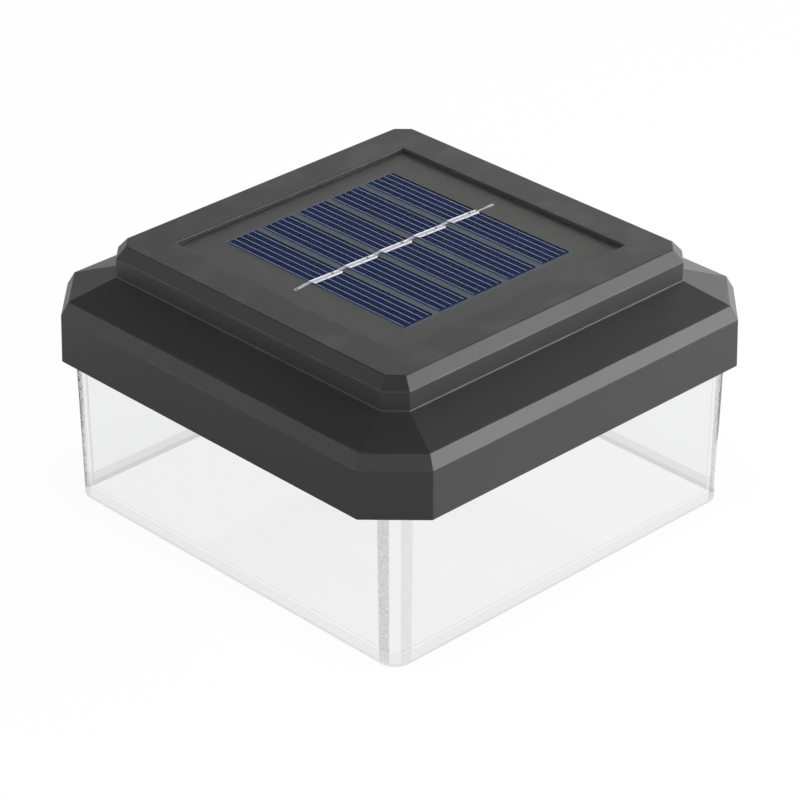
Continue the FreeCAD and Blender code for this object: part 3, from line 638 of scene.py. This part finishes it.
def tin_finish():
    net = new_finish("tinned_ribbon")
    x, y, z = net.along()
    blot = net.noise(BLOT_SIZE, 3.0).ramp(*BLOT_RANGE)
    valley = z.ramp(VALLEY_LEVEL + VALLEY_FADE, VALLEY_LEVEL - VALLEY_FADE)
    printed = z.ramp(LINE_LEVEL, LINE_LEVEL - LINE_FADE) * z.ramp(LINE_START, LINE_FULL)
    pit = inside(along_strip(y) - PIT_PLACE, PIT_HALF) * inside(x - PIT_X[0], PIT_X[1])
    colour = net.mix(valley, TIN_PALE, TIN_VALLEY)
    colour = net.mix(blot * BLOT_SHARE, colour, TIN_DULL)
    colour = net.mix(pit, colour, TIN_PIT)
    colour = net.mix(printed, colour, TIN_PRINTED)
    return net.show(net.node("ShaderNodeBsdfPrincipled", sockets={
        "Base Color": colour, "Metallic": TIN_METALLIC * (1 - printed),
        "Roughness": 0.34 + 0.2 * blot, "Normal": net.bump(net.noise(0.5, 2.0), 0.012)}))


FINISHES["tinned_ribbon"] = tin_finish()
print("made tinned_ribbon")

# %% [markdown]
# ## Poured resin
# A clear resin covers the strips and board. It is flat and satin, and all that it does to the
# picture is to lay a soft reflection over them, strongest at a shallow angle. So its finish is
# see-through with a reflection whose strength follows the viewing angle. The layer's lower face
# takes no part, because there the resin sticks to what it covers.
# %% Resin finish
RESIN_IOR = 1.10
RESIN_ROUGHNESS = 0.30
RESIN_MOST = 0.15       # the largest share that the reflection ever takes
RESIN_TINT = (0.97, 0.97, 0.96, 1)


def resin_finish():
    net = new_finish("panel_resin")
    ripple = net.bump(net.noise(7.0, 2.0), 0.02)
    share = net.node("ShaderNodeFresnel", sockets={"IOR": RESIN_IOR, "Normal": ripple})
    inner = net.node("ShaderNodeNewGeometry", output="Backfacing")
    share = share.smaller(RESIN_MOST) * (1 - inner)
    open_air = net.node("ShaderNodeBsdfTransparent", sockets={"Color": RESIN_TINT})
    gloss = net.node("ShaderNodeBsdfPrincipled", sockets={
        "Base Color": WHITE, "Metallic": 1.0, "Roughness": RESIN_ROUGHNESS, "Normal": ripple})
    return net.show(net.node("ShaderNodeMixShader", sockets={0: share, 1: open_air, 2: gloss}))


FINISHES["panel_resin"] = resin_finish()
print("made panel_resin")

# %% [markdown]
# ## Plain plastics, foam and glue
# The cover, the leads, the switch knob, the foam seals and the glue are all simple materials that
# differ in colour, sheen and the size of their texture. One recipe makes them all: two close
# shades in soft clouds, a sheen that wanders a little, and a fine relief.
# %% A recipe for simple materials
# name: darker shade, lighter shade, roughness, cloud size (mm), grain size (mm), grain depth (mm)
SIMPLE_FINISHES = {
    "white_plastic": ((0.70, 0.70, 0.68), (0.78, 0.78, 0.765), 0.38, 30.0, 0.5, 0.006),
    "foam": ((0.030, 0.030, 0.031), (0.055, 0.055, 0.056), 0.92, 1.2, 0.35, 0.09),
    "glue": ((0.060, 0.060, 0.062), (0.095, 0.095, 0.098), 0.34, 5.0, 2.5, 0.05),
    "led_package": ((0.72, 0.72, 0.70), (0.80, 0.80, 0.78), 0.45, 2.0, 0.2, 0.003),
    "board_white": ((0.66, 0.67, 0.66), (0.74, 0.75, 0.74), 0.35, 8.0, 0.4, 0.003),
    "phosphor": ((0.72, 0.50, 0.055), (0.84, 0.62, 0.10), 0.35, 1.2, 0.25, 0.01),
    "slider_plastic": ((0.020, 0.020, 0.021), (0.032, 0.032, 0.033), 0.45, 2.0, 0.2, 0.004),
    "lead_red": ((0.42, 0.012, 0.010), (0.55, 0.020, 0.016), 0.40, 6.0, 0.5, 0.008),
    "lead_black": ((0.010, 0.010, 0.011), (0.018, 0.018, 0.019), 0.40, 6.0, 0.5, 0.008),
}


def simple_finish(name, dark, light, roughness, cloud_size, grain_size, grain_depth):
    net = new_finish(name)
    cloud = net.noise(cloud_size, 3.0)
    colour = net.mix(cloud, dark, light)
    grain = net.bump(net.noise(grain_size, 2.0), grain_depth)
    return net.show(net.node("ShaderNodeBsdfPrincipled", sockets={
        "Base Color": colour, "Roughness": round_about(roughness, 0.08, cloud), "Normal": grain}))


for simple_name, facts in SIMPLE_FINISHES.items():
    FINISHES[simple_name] = simple_finish(simple_name, *facts)
print("made", *SIMPLE_FINISHES)

# %% [markdown]
# ## Metals
# Screws are zinc-plated steel, the battery's contacts are nickel-plated spring steel, and the
# switch has a thin tinned case. A metal has no colour of its own apart from its reflection, so the
# recipe varies its tint and its polish, with fine scratches drawn out along one direction.
# %% A recipe for metals
# name: duller tint, brighter tint, roughness, scratch size (mm), stretch of the scratches
METAL_FINISHES = {
    "screw_steel": ((0.42, 0.42, 0.43), (0.60, 0.60, 0.59), 0.30, 0.5, (1, 1, 1)),
    "contact_steel": ((0.52, 0.50, 0.46), (0.66, 0.64, 0.59), 0.24, 0.3, (1, 1, 12)),
    "switch_case": ((0.50, 0.50, 0.51), (0.64, 0.64, 0.64), 0.34, 0.25, (14, 1, 1)),
}


def metal_finish(name, dull, bright, roughness, scratch_size, stretch):
    net = new_finish(name)
    scratch = net.noise(scratch_size, 3.0, stretch)
    tarnish = net.noise(3.0, 3.0)
    return net.show(net.node("ShaderNodeBsdfPrincipled", sockets={
        "Base Color": net.mix(tarnish, dull, bright), "Metallic": 1.0,
        "Roughness": round_about(roughness, 0.12, scratch), "Normal": net.bump(scratch, 0.004)}))


for metal_name, facts in METAL_FINISHES.items():
    FINISHES[metal_name] = metal_finish(metal_name, *facts)
print("made", *METAL_FINISHES)

# %% [markdown]
# ## Frosted dome
# The dome under the lamps is milky, so that four small lamps look like one soft light. It is mostly
# a matt white surface, and lets a part of what lies behind it through.
# %% Frosted finish
FROST_CLEAR_SHARE = 0.22
FROST_DARK = (0.74, 0.75, 0.74)
FROST_LIGHT = (0.80, 0.81, 0.80)


def frosted_finish():
    net = new_finish("frosted_plastic")
    cloud = net.noise(6.0, 2.0)
    milk = net.node("ShaderNodeBsdfPrincipled", sockets={
        "Base Color": net.mix(cloud, FROST_DARK, FROST_LIGHT),
        "Roughness": 0.42 + 0.08 * cloud, "Normal": net.bump(net.noise(0.25, 1.0), 0.006)})
    clear = net.node("ShaderNodeBsdfTransparent", sockets={"Color": WHITE})
    share = round_about(FROST_CLEAR_SHARE, 0.12, net.noise(3.0, 1.0))
    return net.show(net.node("ShaderNodeMixShader", sockets={0: share, 1: milk, 2: clear}))


FINISHES["frosted_plastic"] = frosted_finish()
print("made frosted_plastic")

# %% [markdown]
# ## Battery sleeve
# A rechargeable cell has a shrunk plastic sleeve over a steel can, whose ends stay bare. The sleeve
# is plain green with a paler band at the plus end, and carries the signs + and - on the side that
# faces down, so that it is put back the right way round. All of it is found from the distance along
# the cell.
# %% Battery finish
SLEEVE_GREEN = (0.020, 0.150, 0.060)
SLEEVE_PALE = (0.62, 0.66, 0.60)
BARE_STEEL = (0.55, 0.55, 0.54)
BATTERY_X = (-23.95, 26.55)
BATTERY_Y = 24.5
BATTERY_Z = 51.5
SLEEVE_END = 0.5
NUB_LENGTH = 1.0
BAND_WIDTH = 6.0
SIGN_INSET = 9.5
SIGN_REACH = 1.9
SIGN_HALF_WIDTH = 0.35
SIGN_FADE = 1.0


def battery_finish():
    net = new_finish("battery_sleeve")
    x, y, z = net.along()
    middle = (BATTERY_X[0] + BATTERY_X[1] - NUB_LENGTH) / 2
    half = (BATTERY_X[1] - NUB_LENGTH - BATTERY_X[0]) / 2
    sleeve = inside(x - middle, half - SLEEVE_END / 2)
    band = inside(x - (BATTERY_X[1] - NUB_LENGTH - BAND_WIDTH / 2), BAND_WIDTH / 2)
    side = y - BATTERY_Y
    bar = inside(side, SIGN_HALF_WIDTH)
    post = inside(side, SIGN_REACH)
    plus_x = x - (BATTERY_X[1] - SIGN_INSET)
    minus_x = x - (BATTERY_X[0] + SIGN_INSET)
    plus = (inside(plus_x, SIGN_REACH) * bar).larger(inside(plus_x, SIGN_HALF_WIDTH) * post)
    minus = inside(minus_x, SIGN_HALF_WIDTH) * post
    below = z.ramp(BATTERY_Z, BATTERY_Z - SIGN_FADE)
    pale = (plus.larger(minus) * below).larger(band)
    colour = net.mix(pale, SLEEVE_GREEN, SLEEVE_PALE)
    colour = net.mix(sleeve, BARE_STEEL, colour)
    ripple = net.bump(net.noise(4.0, 2.0, stretch=(1, 3, 3)), 0.03)
    return net.show(net.node("ShaderNodeBsdfPrincipled", sockets={
        "Base Color": colour, "Metallic": 1 - sleeve, "Roughness": 0.28 + 0.05 * net.noise(5.0),
        "Normal": ripple}))


FINISHES["battery_sleeve"] = battery_finish()
print("made battery_sleeve")

# %% [markdown]
# ## Control board and what stands on it
# The board is fibreglass under green lacquer. On it are a black chip with tinned legs, a choke with
# colour bands, and a storage capacitor, which is a bare can on a black foot, with its minus side
# marked on top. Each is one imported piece, so its parts are told apart by where they lie.
# %% Board finishes
CHIP_MIDDLE_Y = -29.5
CHIP_HALF_WIDTH = 1.95
CHIP_DOT = (-12.8, -30.7)
CHIP_DOT_HALF = 0.3
CHIP_BLACK = (0.012, 0.012, 0.013)
CHIP_GREY = (0.045, 0.045, 0.046)
CHOKE_MIDDLE_X = 3.5
CHOKE_HALF_LENGTH = 3.75
CHOKE_GREEN = (0.05, 0.25, 0.12)
CHOKE_BANDS = ((-2.2, (0.16, 0.045, 0.012)), (-0.9, (0.008, 0.008, 0.008)),
               (0.4, (0.16, 0.045, 0.012)), (1.9, (0.45, 0.28, 0.08)))
CHOKE_BAND_HALF = 0.3
CAN_MIDDLE_X = 12.9
CAN_TOP = 62.0
CAN_FOOT = 56.5
CAN_FOOT_HEIGHT = 0.9
CAN_BLACK = (0.012, 0.012, 0.014)
CAN_MARK_START = 1.0
CAN_MARK_DEPTH = 0.06
JUST_PAST = 0.01        # keeps a part's own face out of the mask of its metal
LACQUER_DARK = (0.006, 0.075, 0.022)
LACQUER_LIGHT = (0.010, 0.110, 0.034)
TIN = (0.62, 0.62, 0.62)


def board_green_finish():
    net = new_finish("board_green")
    weave = net.noise(0.6, 2.0)
    cloud = net.noise(6.0, 2.0)
    colour = net.mix(cloud, LACQUER_DARK, LACQUER_LIGHT)
    return net.show(net.node("ShaderNodeBsdfPrincipled", sockets={
        "Base Color": colour, "Roughness": 0.28 + 0.06 * weave,
        "Normal": net.bump(weave, 0.004)}))


def part_metal(metal, colour, roughness):
    """A finish that is bare tin where the mask is 1 and plastic elsewhere."""
    net = metal.network
    return net.show(net.node("ShaderNodeBsdfPrincipled", sockets={
        "Base Color": net.mix(metal, colour, TIN), "Metallic": metal,
        "Roughness": roughness + 0.06 * net.noise(0.8, 2.0),
        "Normal": net.bump(net.noise(0.3), 0.004)}))


def chip_finish():
    net = new_finish("chip_black")
    x, y = net.along()[:2]
    legs = abs(y - CHIP_MIDDLE_Y) > CHIP_HALF_WIDTH + JUST_PAST
    dot = inside(x - CHIP_DOT[0], CHIP_DOT_HALF) * inside(y - CHIP_DOT[1], CHIP_DOT_HALF)
    return part_metal(legs, net.mix(dot, CHIP_BLACK, CHIP_GREY), 0.42)


def choke_finish():
    net = new_finish("choke_body")
    along = net.along()[0] - CHOKE_MIDDLE_X
    colour = CHOKE_GREEN
    for middle, band in CHOKE_BANDS:
        colour = net.mix(inside(along - middle, CHOKE_BAND_HALF), colour, band)
    wire = abs(along) > CHOKE_HALF_LENGTH + JUST_PAST
    return part_metal(wire, colour, 0.30)


def can_finish():
    net = new_finish("capacitor_can")
    x, _, z = net.along()
    printed = (x > CAN_MIDDLE_X + CAN_MARK_START) * (z > CAN_TOP - CAN_MARK_DEPTH)
    foot = z < CAN_FOOT + CAN_FOOT_HEIGHT
    return part_metal(1 - printed.larger(foot), CAN_BLACK, 0.33)


FINISHES["board_green"] = board_green_finish()
FINISHES["chip_black"] = chip_finish()
FINISHES["choke_body"] = choke_finish()
FINISHES["capacitor_can"] = can_finish()
print("made the board's finishes")

# %% [markdown]
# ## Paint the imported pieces
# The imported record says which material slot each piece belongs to, so one loop gives every piece
# its finish. Its shape stays as it is.
# %% Give each piece its finish
for part in frame["record"]["subparts"]:
    piece = frame["nodes"][part["node"]]
    for place in piece.material_slots:
        place.material = FINISHES[part["material_slot"]]

# %% [markdown]
# ## Making a piece
# New detail is made as closed meshes from rings of points: each ring is joined to the next, and the
# first and last are closed. A ring can be a flat strip's cross-section or a circle, so the same
# helper makes tinned strips, solder and small mouldings.
# %% Helpers for new pieces
def ring_faces(rings, start=0):
    """Faces that join rings of equal length and close both ends; points are numbered from start."""
    size = len(rings[0])
    faces = [tuple(start + i for i in reversed(range(size)))]
    for r in range(len(rings) - 1):
        low = start + r * size
        for i in range(size):
            j = (i + 1) % size
            faces.append((low + i, low + j, low + size + j, low + size + i))
    last = start + (len(rings) - 1) * size
    faces.append(tuple(last + i for i in range(size)))
    return faces


def hoop_faces(rings, start=0):
    """Faces that join rings of equal length in turn, and the last one to the first again."""
    size = len(rings[0])
    faces = []
    for r in range(len(rings)):
        low = start + r * size
        high = start + (r + 1) % len(rings) * size
        for i in range(size):
            j = (i + 1) % size
            faces.append((low + i, low + j, high + j, high + i))
    return faces


def add_piece(name, solids, body, slot, smooth=False, finish=None, join=ring_faces):
    """One new piece from one or more lofted solids, each a list of rings of points in mm."""
    points = []
    faces = []
    for rings in solids:
        faces += join(rings, len(points))
        points += [in_metres(p) for ring in rings for p in ring]
    mesh = bpy.data.meshes.new(name)
    mesh.from_pydata(points, [], faces)
    shape = bmesh.new()
    shape.from_mesh(mesh)
    bmesh.ops.recalc_face_normals(shape, faces=shape.faces)
    shape.to_mesh(mesh)
    shape.free()
    mesh.polygons.foreach_set("use_smooth", [smooth] * len(mesh.polygons))
    mesh.materials.append(FINISHES[finish or slot])
    piece = bpy.data.objects.new(name, mesh)
    bpy.context.scene.collection.objects.link(piece)
    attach(piece, body)
    print(name, len(solids), "solids,", len(faces), "faces")
    return piece


# %% [markdown]
# ## Fine lines on the strips
# Each strip has five thin printed lines that gather the current and carry it to the ribbon. They
# stand a few hundredths of a millimetre proud of the silicon. As real raised bars, slightly
# narrower on top, they catch the light as print does, which a painted stripe would not.
# %% Printed lines
CELL_COUNT = 5
CELL_X = (-29.05, 28.05)
LINES_A_CELL = 5
LINE_PITCH = 1.88
LINE_FIRST = 0.98
LINE_FOOT = 0.21
LINE_CREST = 0.13
LINE_HEIGHT = 0.035
LINE_SUNK = 0.01
LINE_INSET = 0.12


def cell_y(number):
    """The middle of a strip; number 1 is at the back."""
    return ((CELL_COUNT - 1) / 2 - (number - 1)) * CELL_PITCH


def bar(x0, x1, y, foot, crest, z0, z1):
    """A long bar with leaning sides."""
    rings = []
    for x in (x0, x1):
        rings.append([(x, y - foot / 2, z0), (x, y + foot / 2, z0),
                      (x, y + crest / 2, z1), (x, y - crest / 2, z1)])
    return rings[::-1]


printed_lines = []
for number in range(1, CELL_COUNT + 1):
    rear = cell_y(number) + CELL_WIDTH / 2
    for k in range(LINES_A_CELL):
        y = rear - LINE_FIRST - k * LINE_PITCH
        printed_lines.append(bar(CELL_X[0] + LINE_INSET, CELL_X[1] - LINE_INSET, y, LINE_FOOT,
                                 LINE_CREST, CELL_TOP - LINE_SUNK, CELL_TOP + LINE_HEIGHT))
add_piece("printed_lines", printed_lines, HEAD, "tinned_ribbon")

# %% [markdown]
# ## Ribbons
# A tinned ribbon runs along the middle of the panel and joins each strip to the next. It is not a
# flat tape: solder has piled up along its two edges and left a shallow valley between, and over
# the gap between two strips only its left edge goes on, down to the board. Each ribbon is a
# cross-section with two ridges, swept along a line that steps down and narrows.
# %% Ribbons on the strips
RIBBON_MIDDLE = -0.9
RIBBON_SKEW = 0.45
RIBBON_HALF = 0.95
RIBBON_THICK = 0.12
RIBBON_INSET = 0.25
LINK_HALF = 0.42
GAP_LENGTH = 2.2


def ribbon_ring(left, right, y, z):
    """A ribbon's cross-section between two sides: two ridges and the valley between them."""
    width = right - left
    marks = ((0, 0), (0.0, 0.62), (0.06, 1.0), (0.24, 1.0), (0.31, 0.55),
             (0.69, 0.55), (0.76, 1.0), (0.94, 1.0), (1.0, 0.62), (1.0, 0))
    return [(left + share * width, y, z + rise * RIBBON_THICK) for share, rise in marks][::-1]


def ribbon(number):
    rear = cell_y(number) + CELL_WIDTH / 2 - RIBBON_INSET
    fore = cell_y(number) - CELL_WIDTH / 2
    left = RIBBON_MIDDLE - RIBBON_HALF
    right = RIBBON_MIDDLE + RIBBON_HALF
    back = RIBBON_SKEW / 2
    link = left + 2 * LINK_HALF
    stations = [
        # left side, right side, y, z; the rear end is cut a little askew
        (left + back + 0.05, right + back - 0.35, rear, CELL_TOP),
        (left + back, right + back, rear - 0.5, CELL_TOP),
        (left - back, right - back, fore + 0.05, CELL_TOP),
        (left - back, link - back, fore - 0.2, CELL_TOP - 0.02),
        (left - back, link - back, fore - 0.5, CELL_TOP - 0.07),
        (left - back, link - back, fore - 1.0, BOARD_TOP + 0.02),
        (left - back, link - back, fore - GAP_LENGTH + 0.5, BOARD_TOP),
        (left - back, link - back, fore - GAP_LENGTH, BOARD_TOP),
    ]
    return [ribbon_ring(a, b, y, z) for a, b, y, z in stations]


for number in range(1, CELL_COUNT + 1):
    name = "cell_ribbon_%d" % number
    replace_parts(add_piece("soldered_" + name, [ribbon(number)], HEAD, "tinned_ribbon"), name)

# %% [markdown]
# The string's two ends leave the outer strips as narrow tails, on which the panel's leads are
# soldered from below. Their ends are rounded off with a drop of solder.
# %% Tails
TAIL_THICK = 0.12
TAIL_BEVEL = 0.04
TAIL_TOP_SHARE = 0.7
TAILS = {
    # middle x, y, half width at each station, from the front
    "tail_front": ((-1.22, -31.15, 0.30), (-1.25, -31.0, 0.44), (-1.38, -29.8, 0.44),
                   (-1.6, -28.15, 0.42)),
    "tail_back": ((-0.92, 25.95, 0.24), (-0.92, 29.0, 0.24), (-0.9, 29.5, 0.42),
                  (-0.9, 30.9, 0.45), (-0.9, 31.15, 0.34)),
}


def tail(stations):
    rings = []
    top = BOARD_TOP + TAIL_THICK
    for x, y, half in stations:
        crest = half * TAIL_TOP_SHARE
        rings.append([(x - half, y, BOARD_TOP), (x + half, y, BOARD_TOP),
                      (x + half, y, top - TAIL_BEVEL), (x + crest, y, top),
                      (x - crest, y, top), (x - half, y, top - TAIL_BEVEL)])
    return rings[::-1]


tails = add_piece("soldered_tails", [tail(stations) for stations in TAILS.values()], HEAD,
                  "tinned_ribbon")
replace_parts(tails, "ribbon_tails")

# %% [markdown]
# ## Face of the resin
# The resin fills the recess over the strips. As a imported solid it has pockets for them, whose
# faces lie exactly on the strips and would flicker. The piece that stands for it here is only the
# layer above them, with its edge rounded where the resin drew back as it set.
# %% Resin face
RESIN_HALF = 35.7
RESIN_FOOT = CELL_TOP + 0.15
RESIN_EDGE = ((0.0, 0.0), (0.0, 0.12), (0.05, 0.20), (0.14, 0.25))
CORNER_STEPS = 5
RESIN_CORNER = 0.5


def rounded_square(half, radius, z):
    """A ring of points round a square with rounded corners."""
    points = []
    for quarter in range(4):
        turn = quarter * math.pi / 2
        corner_x = (half - radius) * (1, -1, -1, 1)[quarter]
        corner_y = (half - radius) * (1, 1, -1, -1)[quarter]
        for step in range(CORNER_STEPS + 1):
            angle = turn + step * math.pi / 2 / CORNER_STEPS
            points.append((corner_x + radius * math.cos(angle),
                           corner_y + radius * math.sin(angle), z))
    return points


resin_rings = [rounded_square(RESIN_HALF - inset, RESIN_CORNER, RESIN_FOOT + rise)
               for inset, rise in RESIN_EDGE]
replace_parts(add_piece("resin_face", [resin_rings], HEAD, "panel_resin"), "panel_resin")

# %% [markdown]
# ## Lamp faces
# A white surface-mount lamp is a small white cup filled with yellow phosphor, which turns the blue
# light of its chip white. The cup is packed as a plain block, so the filling is added as a low
# round drop on its face.
# %% Lamp faces
LAMP_RING = 4.6
LAMP_FACE = 50.5
ROUND_STEPS = 20
# radius and height against the lamp's face, which looks down: from the drop's crest to its foot
DROP_SHAPE = ((0.7, -0.07), (0.98, -0.04), (1.08, 0.02))


def circle(x, y, radius, z):
    """A ring of points round a circle."""
    turns = [2 * math.pi * i / ROUND_STEPS for i in range(ROUND_STEPS)]
    return [(x + radius * math.cos(t), y + radius * math.sin(t), z) for t in turns]


drops = []
for quarter in range(4):
    turn = math.pi * (0.25 + 0.5 * quarter)
    x = LAMP_RING * math.cos(turn)
    y = LAMP_RING * math.sin(turn)
    drops.append([circle(x, y, radius, LAMP_FACE + rise) for radius, rise in DROP_SHAPE])
add_piece("lamp_faces", drops, HEAD, "led_package", smooth=True, finish="phosphor")

# %% [markdown]
# ## Solder
# Where a lead meets a board it sits in a cone of solder, wide at the foot and drawn up round the
# wire. A ring of points at four heights gives that hollow-sided cone. It points up on the boards
# and down under the solar panel.
# %% Solder cones
BOARD_FACE = 56.5
LAMP_BOARD_FACE = 52.5
PANEL_UNDERSIDE = 63.4
SOLDER_SHAPE = ((1.15, 0.0), (0.95, 0.14), (0.76, 0.42), (0.67, 0.8))
# x, y, foot's height, direction; each stands on both sides of the middle
SOLDERED = ((4.0, -18.5, BOARD_FACE, 1), (9.4, -20.9, BOARD_FACE, 1), (18.6, -18.5, BOARD_FACE, 1),
            (4.0, -9.4, LAMP_BOARD_FACE, 1), (9.4, -2.0, PANEL_UNDERSIDE, -1))

cones = []
for x, y, foot, direction in SOLDERED:
    for side in (-1, 1):
        cones.append([circle(side * x, y, radius, foot + direction * rise)
                      for radius, rise in SOLDER_SHAPE])
add_piece("solder_cones", cones, HEAD, "contact_steel", smooth=True)

# %% [markdown]
# ## Tracks on the control board
# Copper tracks lie under the lacquer and lift it a little, so they are made as raised lines in the
# board's own finish. A track is a flat bar that follows a line of points and turns through corners
# at an even width.
# %% Tracks
TRACK_WIDTH = 0.8
TRACK_HEIGHT = 0.05
TRACK_TOP_SHARE = 0.8
TRACKS = (
    ((-4.0, -19.6), (-4.0, -22.5), (-9.1, -25.6), (-9.1, -26.9)),
    ((4.0, -19.6), (4.0, -24.0), (8.6, -27.0), (10.6, -27.0)),
    ((18.6, -19.6), (18.6, -21.6), (14.8, -24.9)),
    ((-18.6, -19.6), (-20.6, -22.0), (-20.6, -29.0), (-16.2, -33.4), (-12.9, -33.4),
     (-12.9, -32.2)),
    ((-1.75, -31.5), (-4.5, -31.5), (-6.6, -33.6), (-9.1, -33.6), (-9.1, -32.2)),
    ((8.75, -31.5), (10.6, -31.5), (12.4, -29.7)),
    ((-9.4, -22.0), (-9.4, -22.9), (-11.64, -24.4), (-11.64, -26.9)),
)


def track(points):
    """Cross-sections of a flat bar along a line, square to the line or halfway round a corner."""
    rings = []
    for i, (x, y) in enumerate(points):
        before = Vector(points[max(i - 1, 0)])
        after = Vector(points[min(i + 1, len(points) - 1)])
        here = Vector((x, y))
        legs = [leg.normalized() for leg in (here - before, after - here) if leg.length > 0]
        ahead = sum(legs, Vector((0, 0))).normalized()
        reach = TRACK_WIDTH / 2 / ahead.dot(legs[0])
        across = Vector((-ahead.y, ahead.x)) * reach
        low = BOARD_FACE - TRACK_HEIGHT
        high = BOARD_FACE + TRACK_HEIGHT
        rings.append([(*(here + across), low), (*(here - across), low),
                      (*(here - across * TRACK_TOP_SHARE), high),
                      (*(here + across * TRACK_TOP_SHARE), high)])
    return rings


add_piece("board_tracks", [track(points) for points in TRACKS], HEAD, "board_green")

# %% [markdown]
# ## Marks on the white cover
# The slide switch is reached from below when the head is off, so the cover has a raised bar where
# the knob is on and a raised ring where it is off. The pins that push a moulded cover out of its
# mould leave faint rings, and the door has a few ribs for a finger's grip.
# %% Raised marks
COVER_FACE = 49.5
MARK_HEIGHT = 0.15
MARK_Y = -25.5
ON_X = 8.4
ON_HALF = (0.3, 1.2)
OFF_X = -0.4
OFF_RADII = (1.2, 0.65)
PIN_HEIGHT = 0.06
PIN_RADII = (2.6, 2.35)
PIN_PLACES = ((-38.0, 0.0), (38.0, 0.0), (-28.0, -40.0), (28.0, -40.0), (-28.0, 42.0),
              (28.0, 42.0))
DOOR_FACE = 41.35
GRIP_PLACES = (-4.8, -2.4, 0.0, 2.4, 4.8)
GRIP_MIDDLE_Y = 24.5
GRIP_REACH = 5.0
# half width and height against the door's face, which looks down: the grip's crest, then its root
GRIP_SHAPE = ((0.32, -0.35), (0.5, 0.1))


def rectangle(x, y, half_x, half_y, z):
    """A ring of four points."""
    return [(x - half_x, y - half_y, z), (x + half_x, y - half_y, z),
            (x + half_x, y + half_y, z), (x - half_x, y + half_y, z)]


def hoop(x, y, radii, height):
    """Four rings of points round the corners of a flat hoop that stands on the cover's face."""
    outer, inner = radii
    low = COVER_FACE - height
    high = COVER_FACE + height
    return [circle(x, y, outer, low), circle(x, y, outer, high), circle(x, y, inner, high),
            circle(x, y, inner, low)]


on_mark = [rectangle(ON_X, MARK_Y, *ON_HALF, z)
           for z in (COVER_FACE - MARK_HEIGHT, COVER_FACE + MARK_HEIGHT)]
add_piece("switch_mark_on", [on_mark], HEAD, "white_plastic")
add_piece("switch_mark_off", [hoop(OFF_X, MARK_Y, OFF_RADII, MARK_HEIGHT)], HEAD,
          "white_plastic", join=hoop_faces)
add_piece("pin_rings", [hoop(x, y, PIN_RADII, PIN_HEIGHT) for x, y in PIN_PLACES], HEAD,
          "white_plastic", join=hoop_faces)
grips = [[rectangle(x, GRIP_MIDDLE_Y, half, GRIP_REACH + half, DOOR_FACE + rise)
          for half, rise in GRIP_SHAPE] for x in GRIP_PLACES]
add_piece("door_grips", grips, "door", "white_plastic")
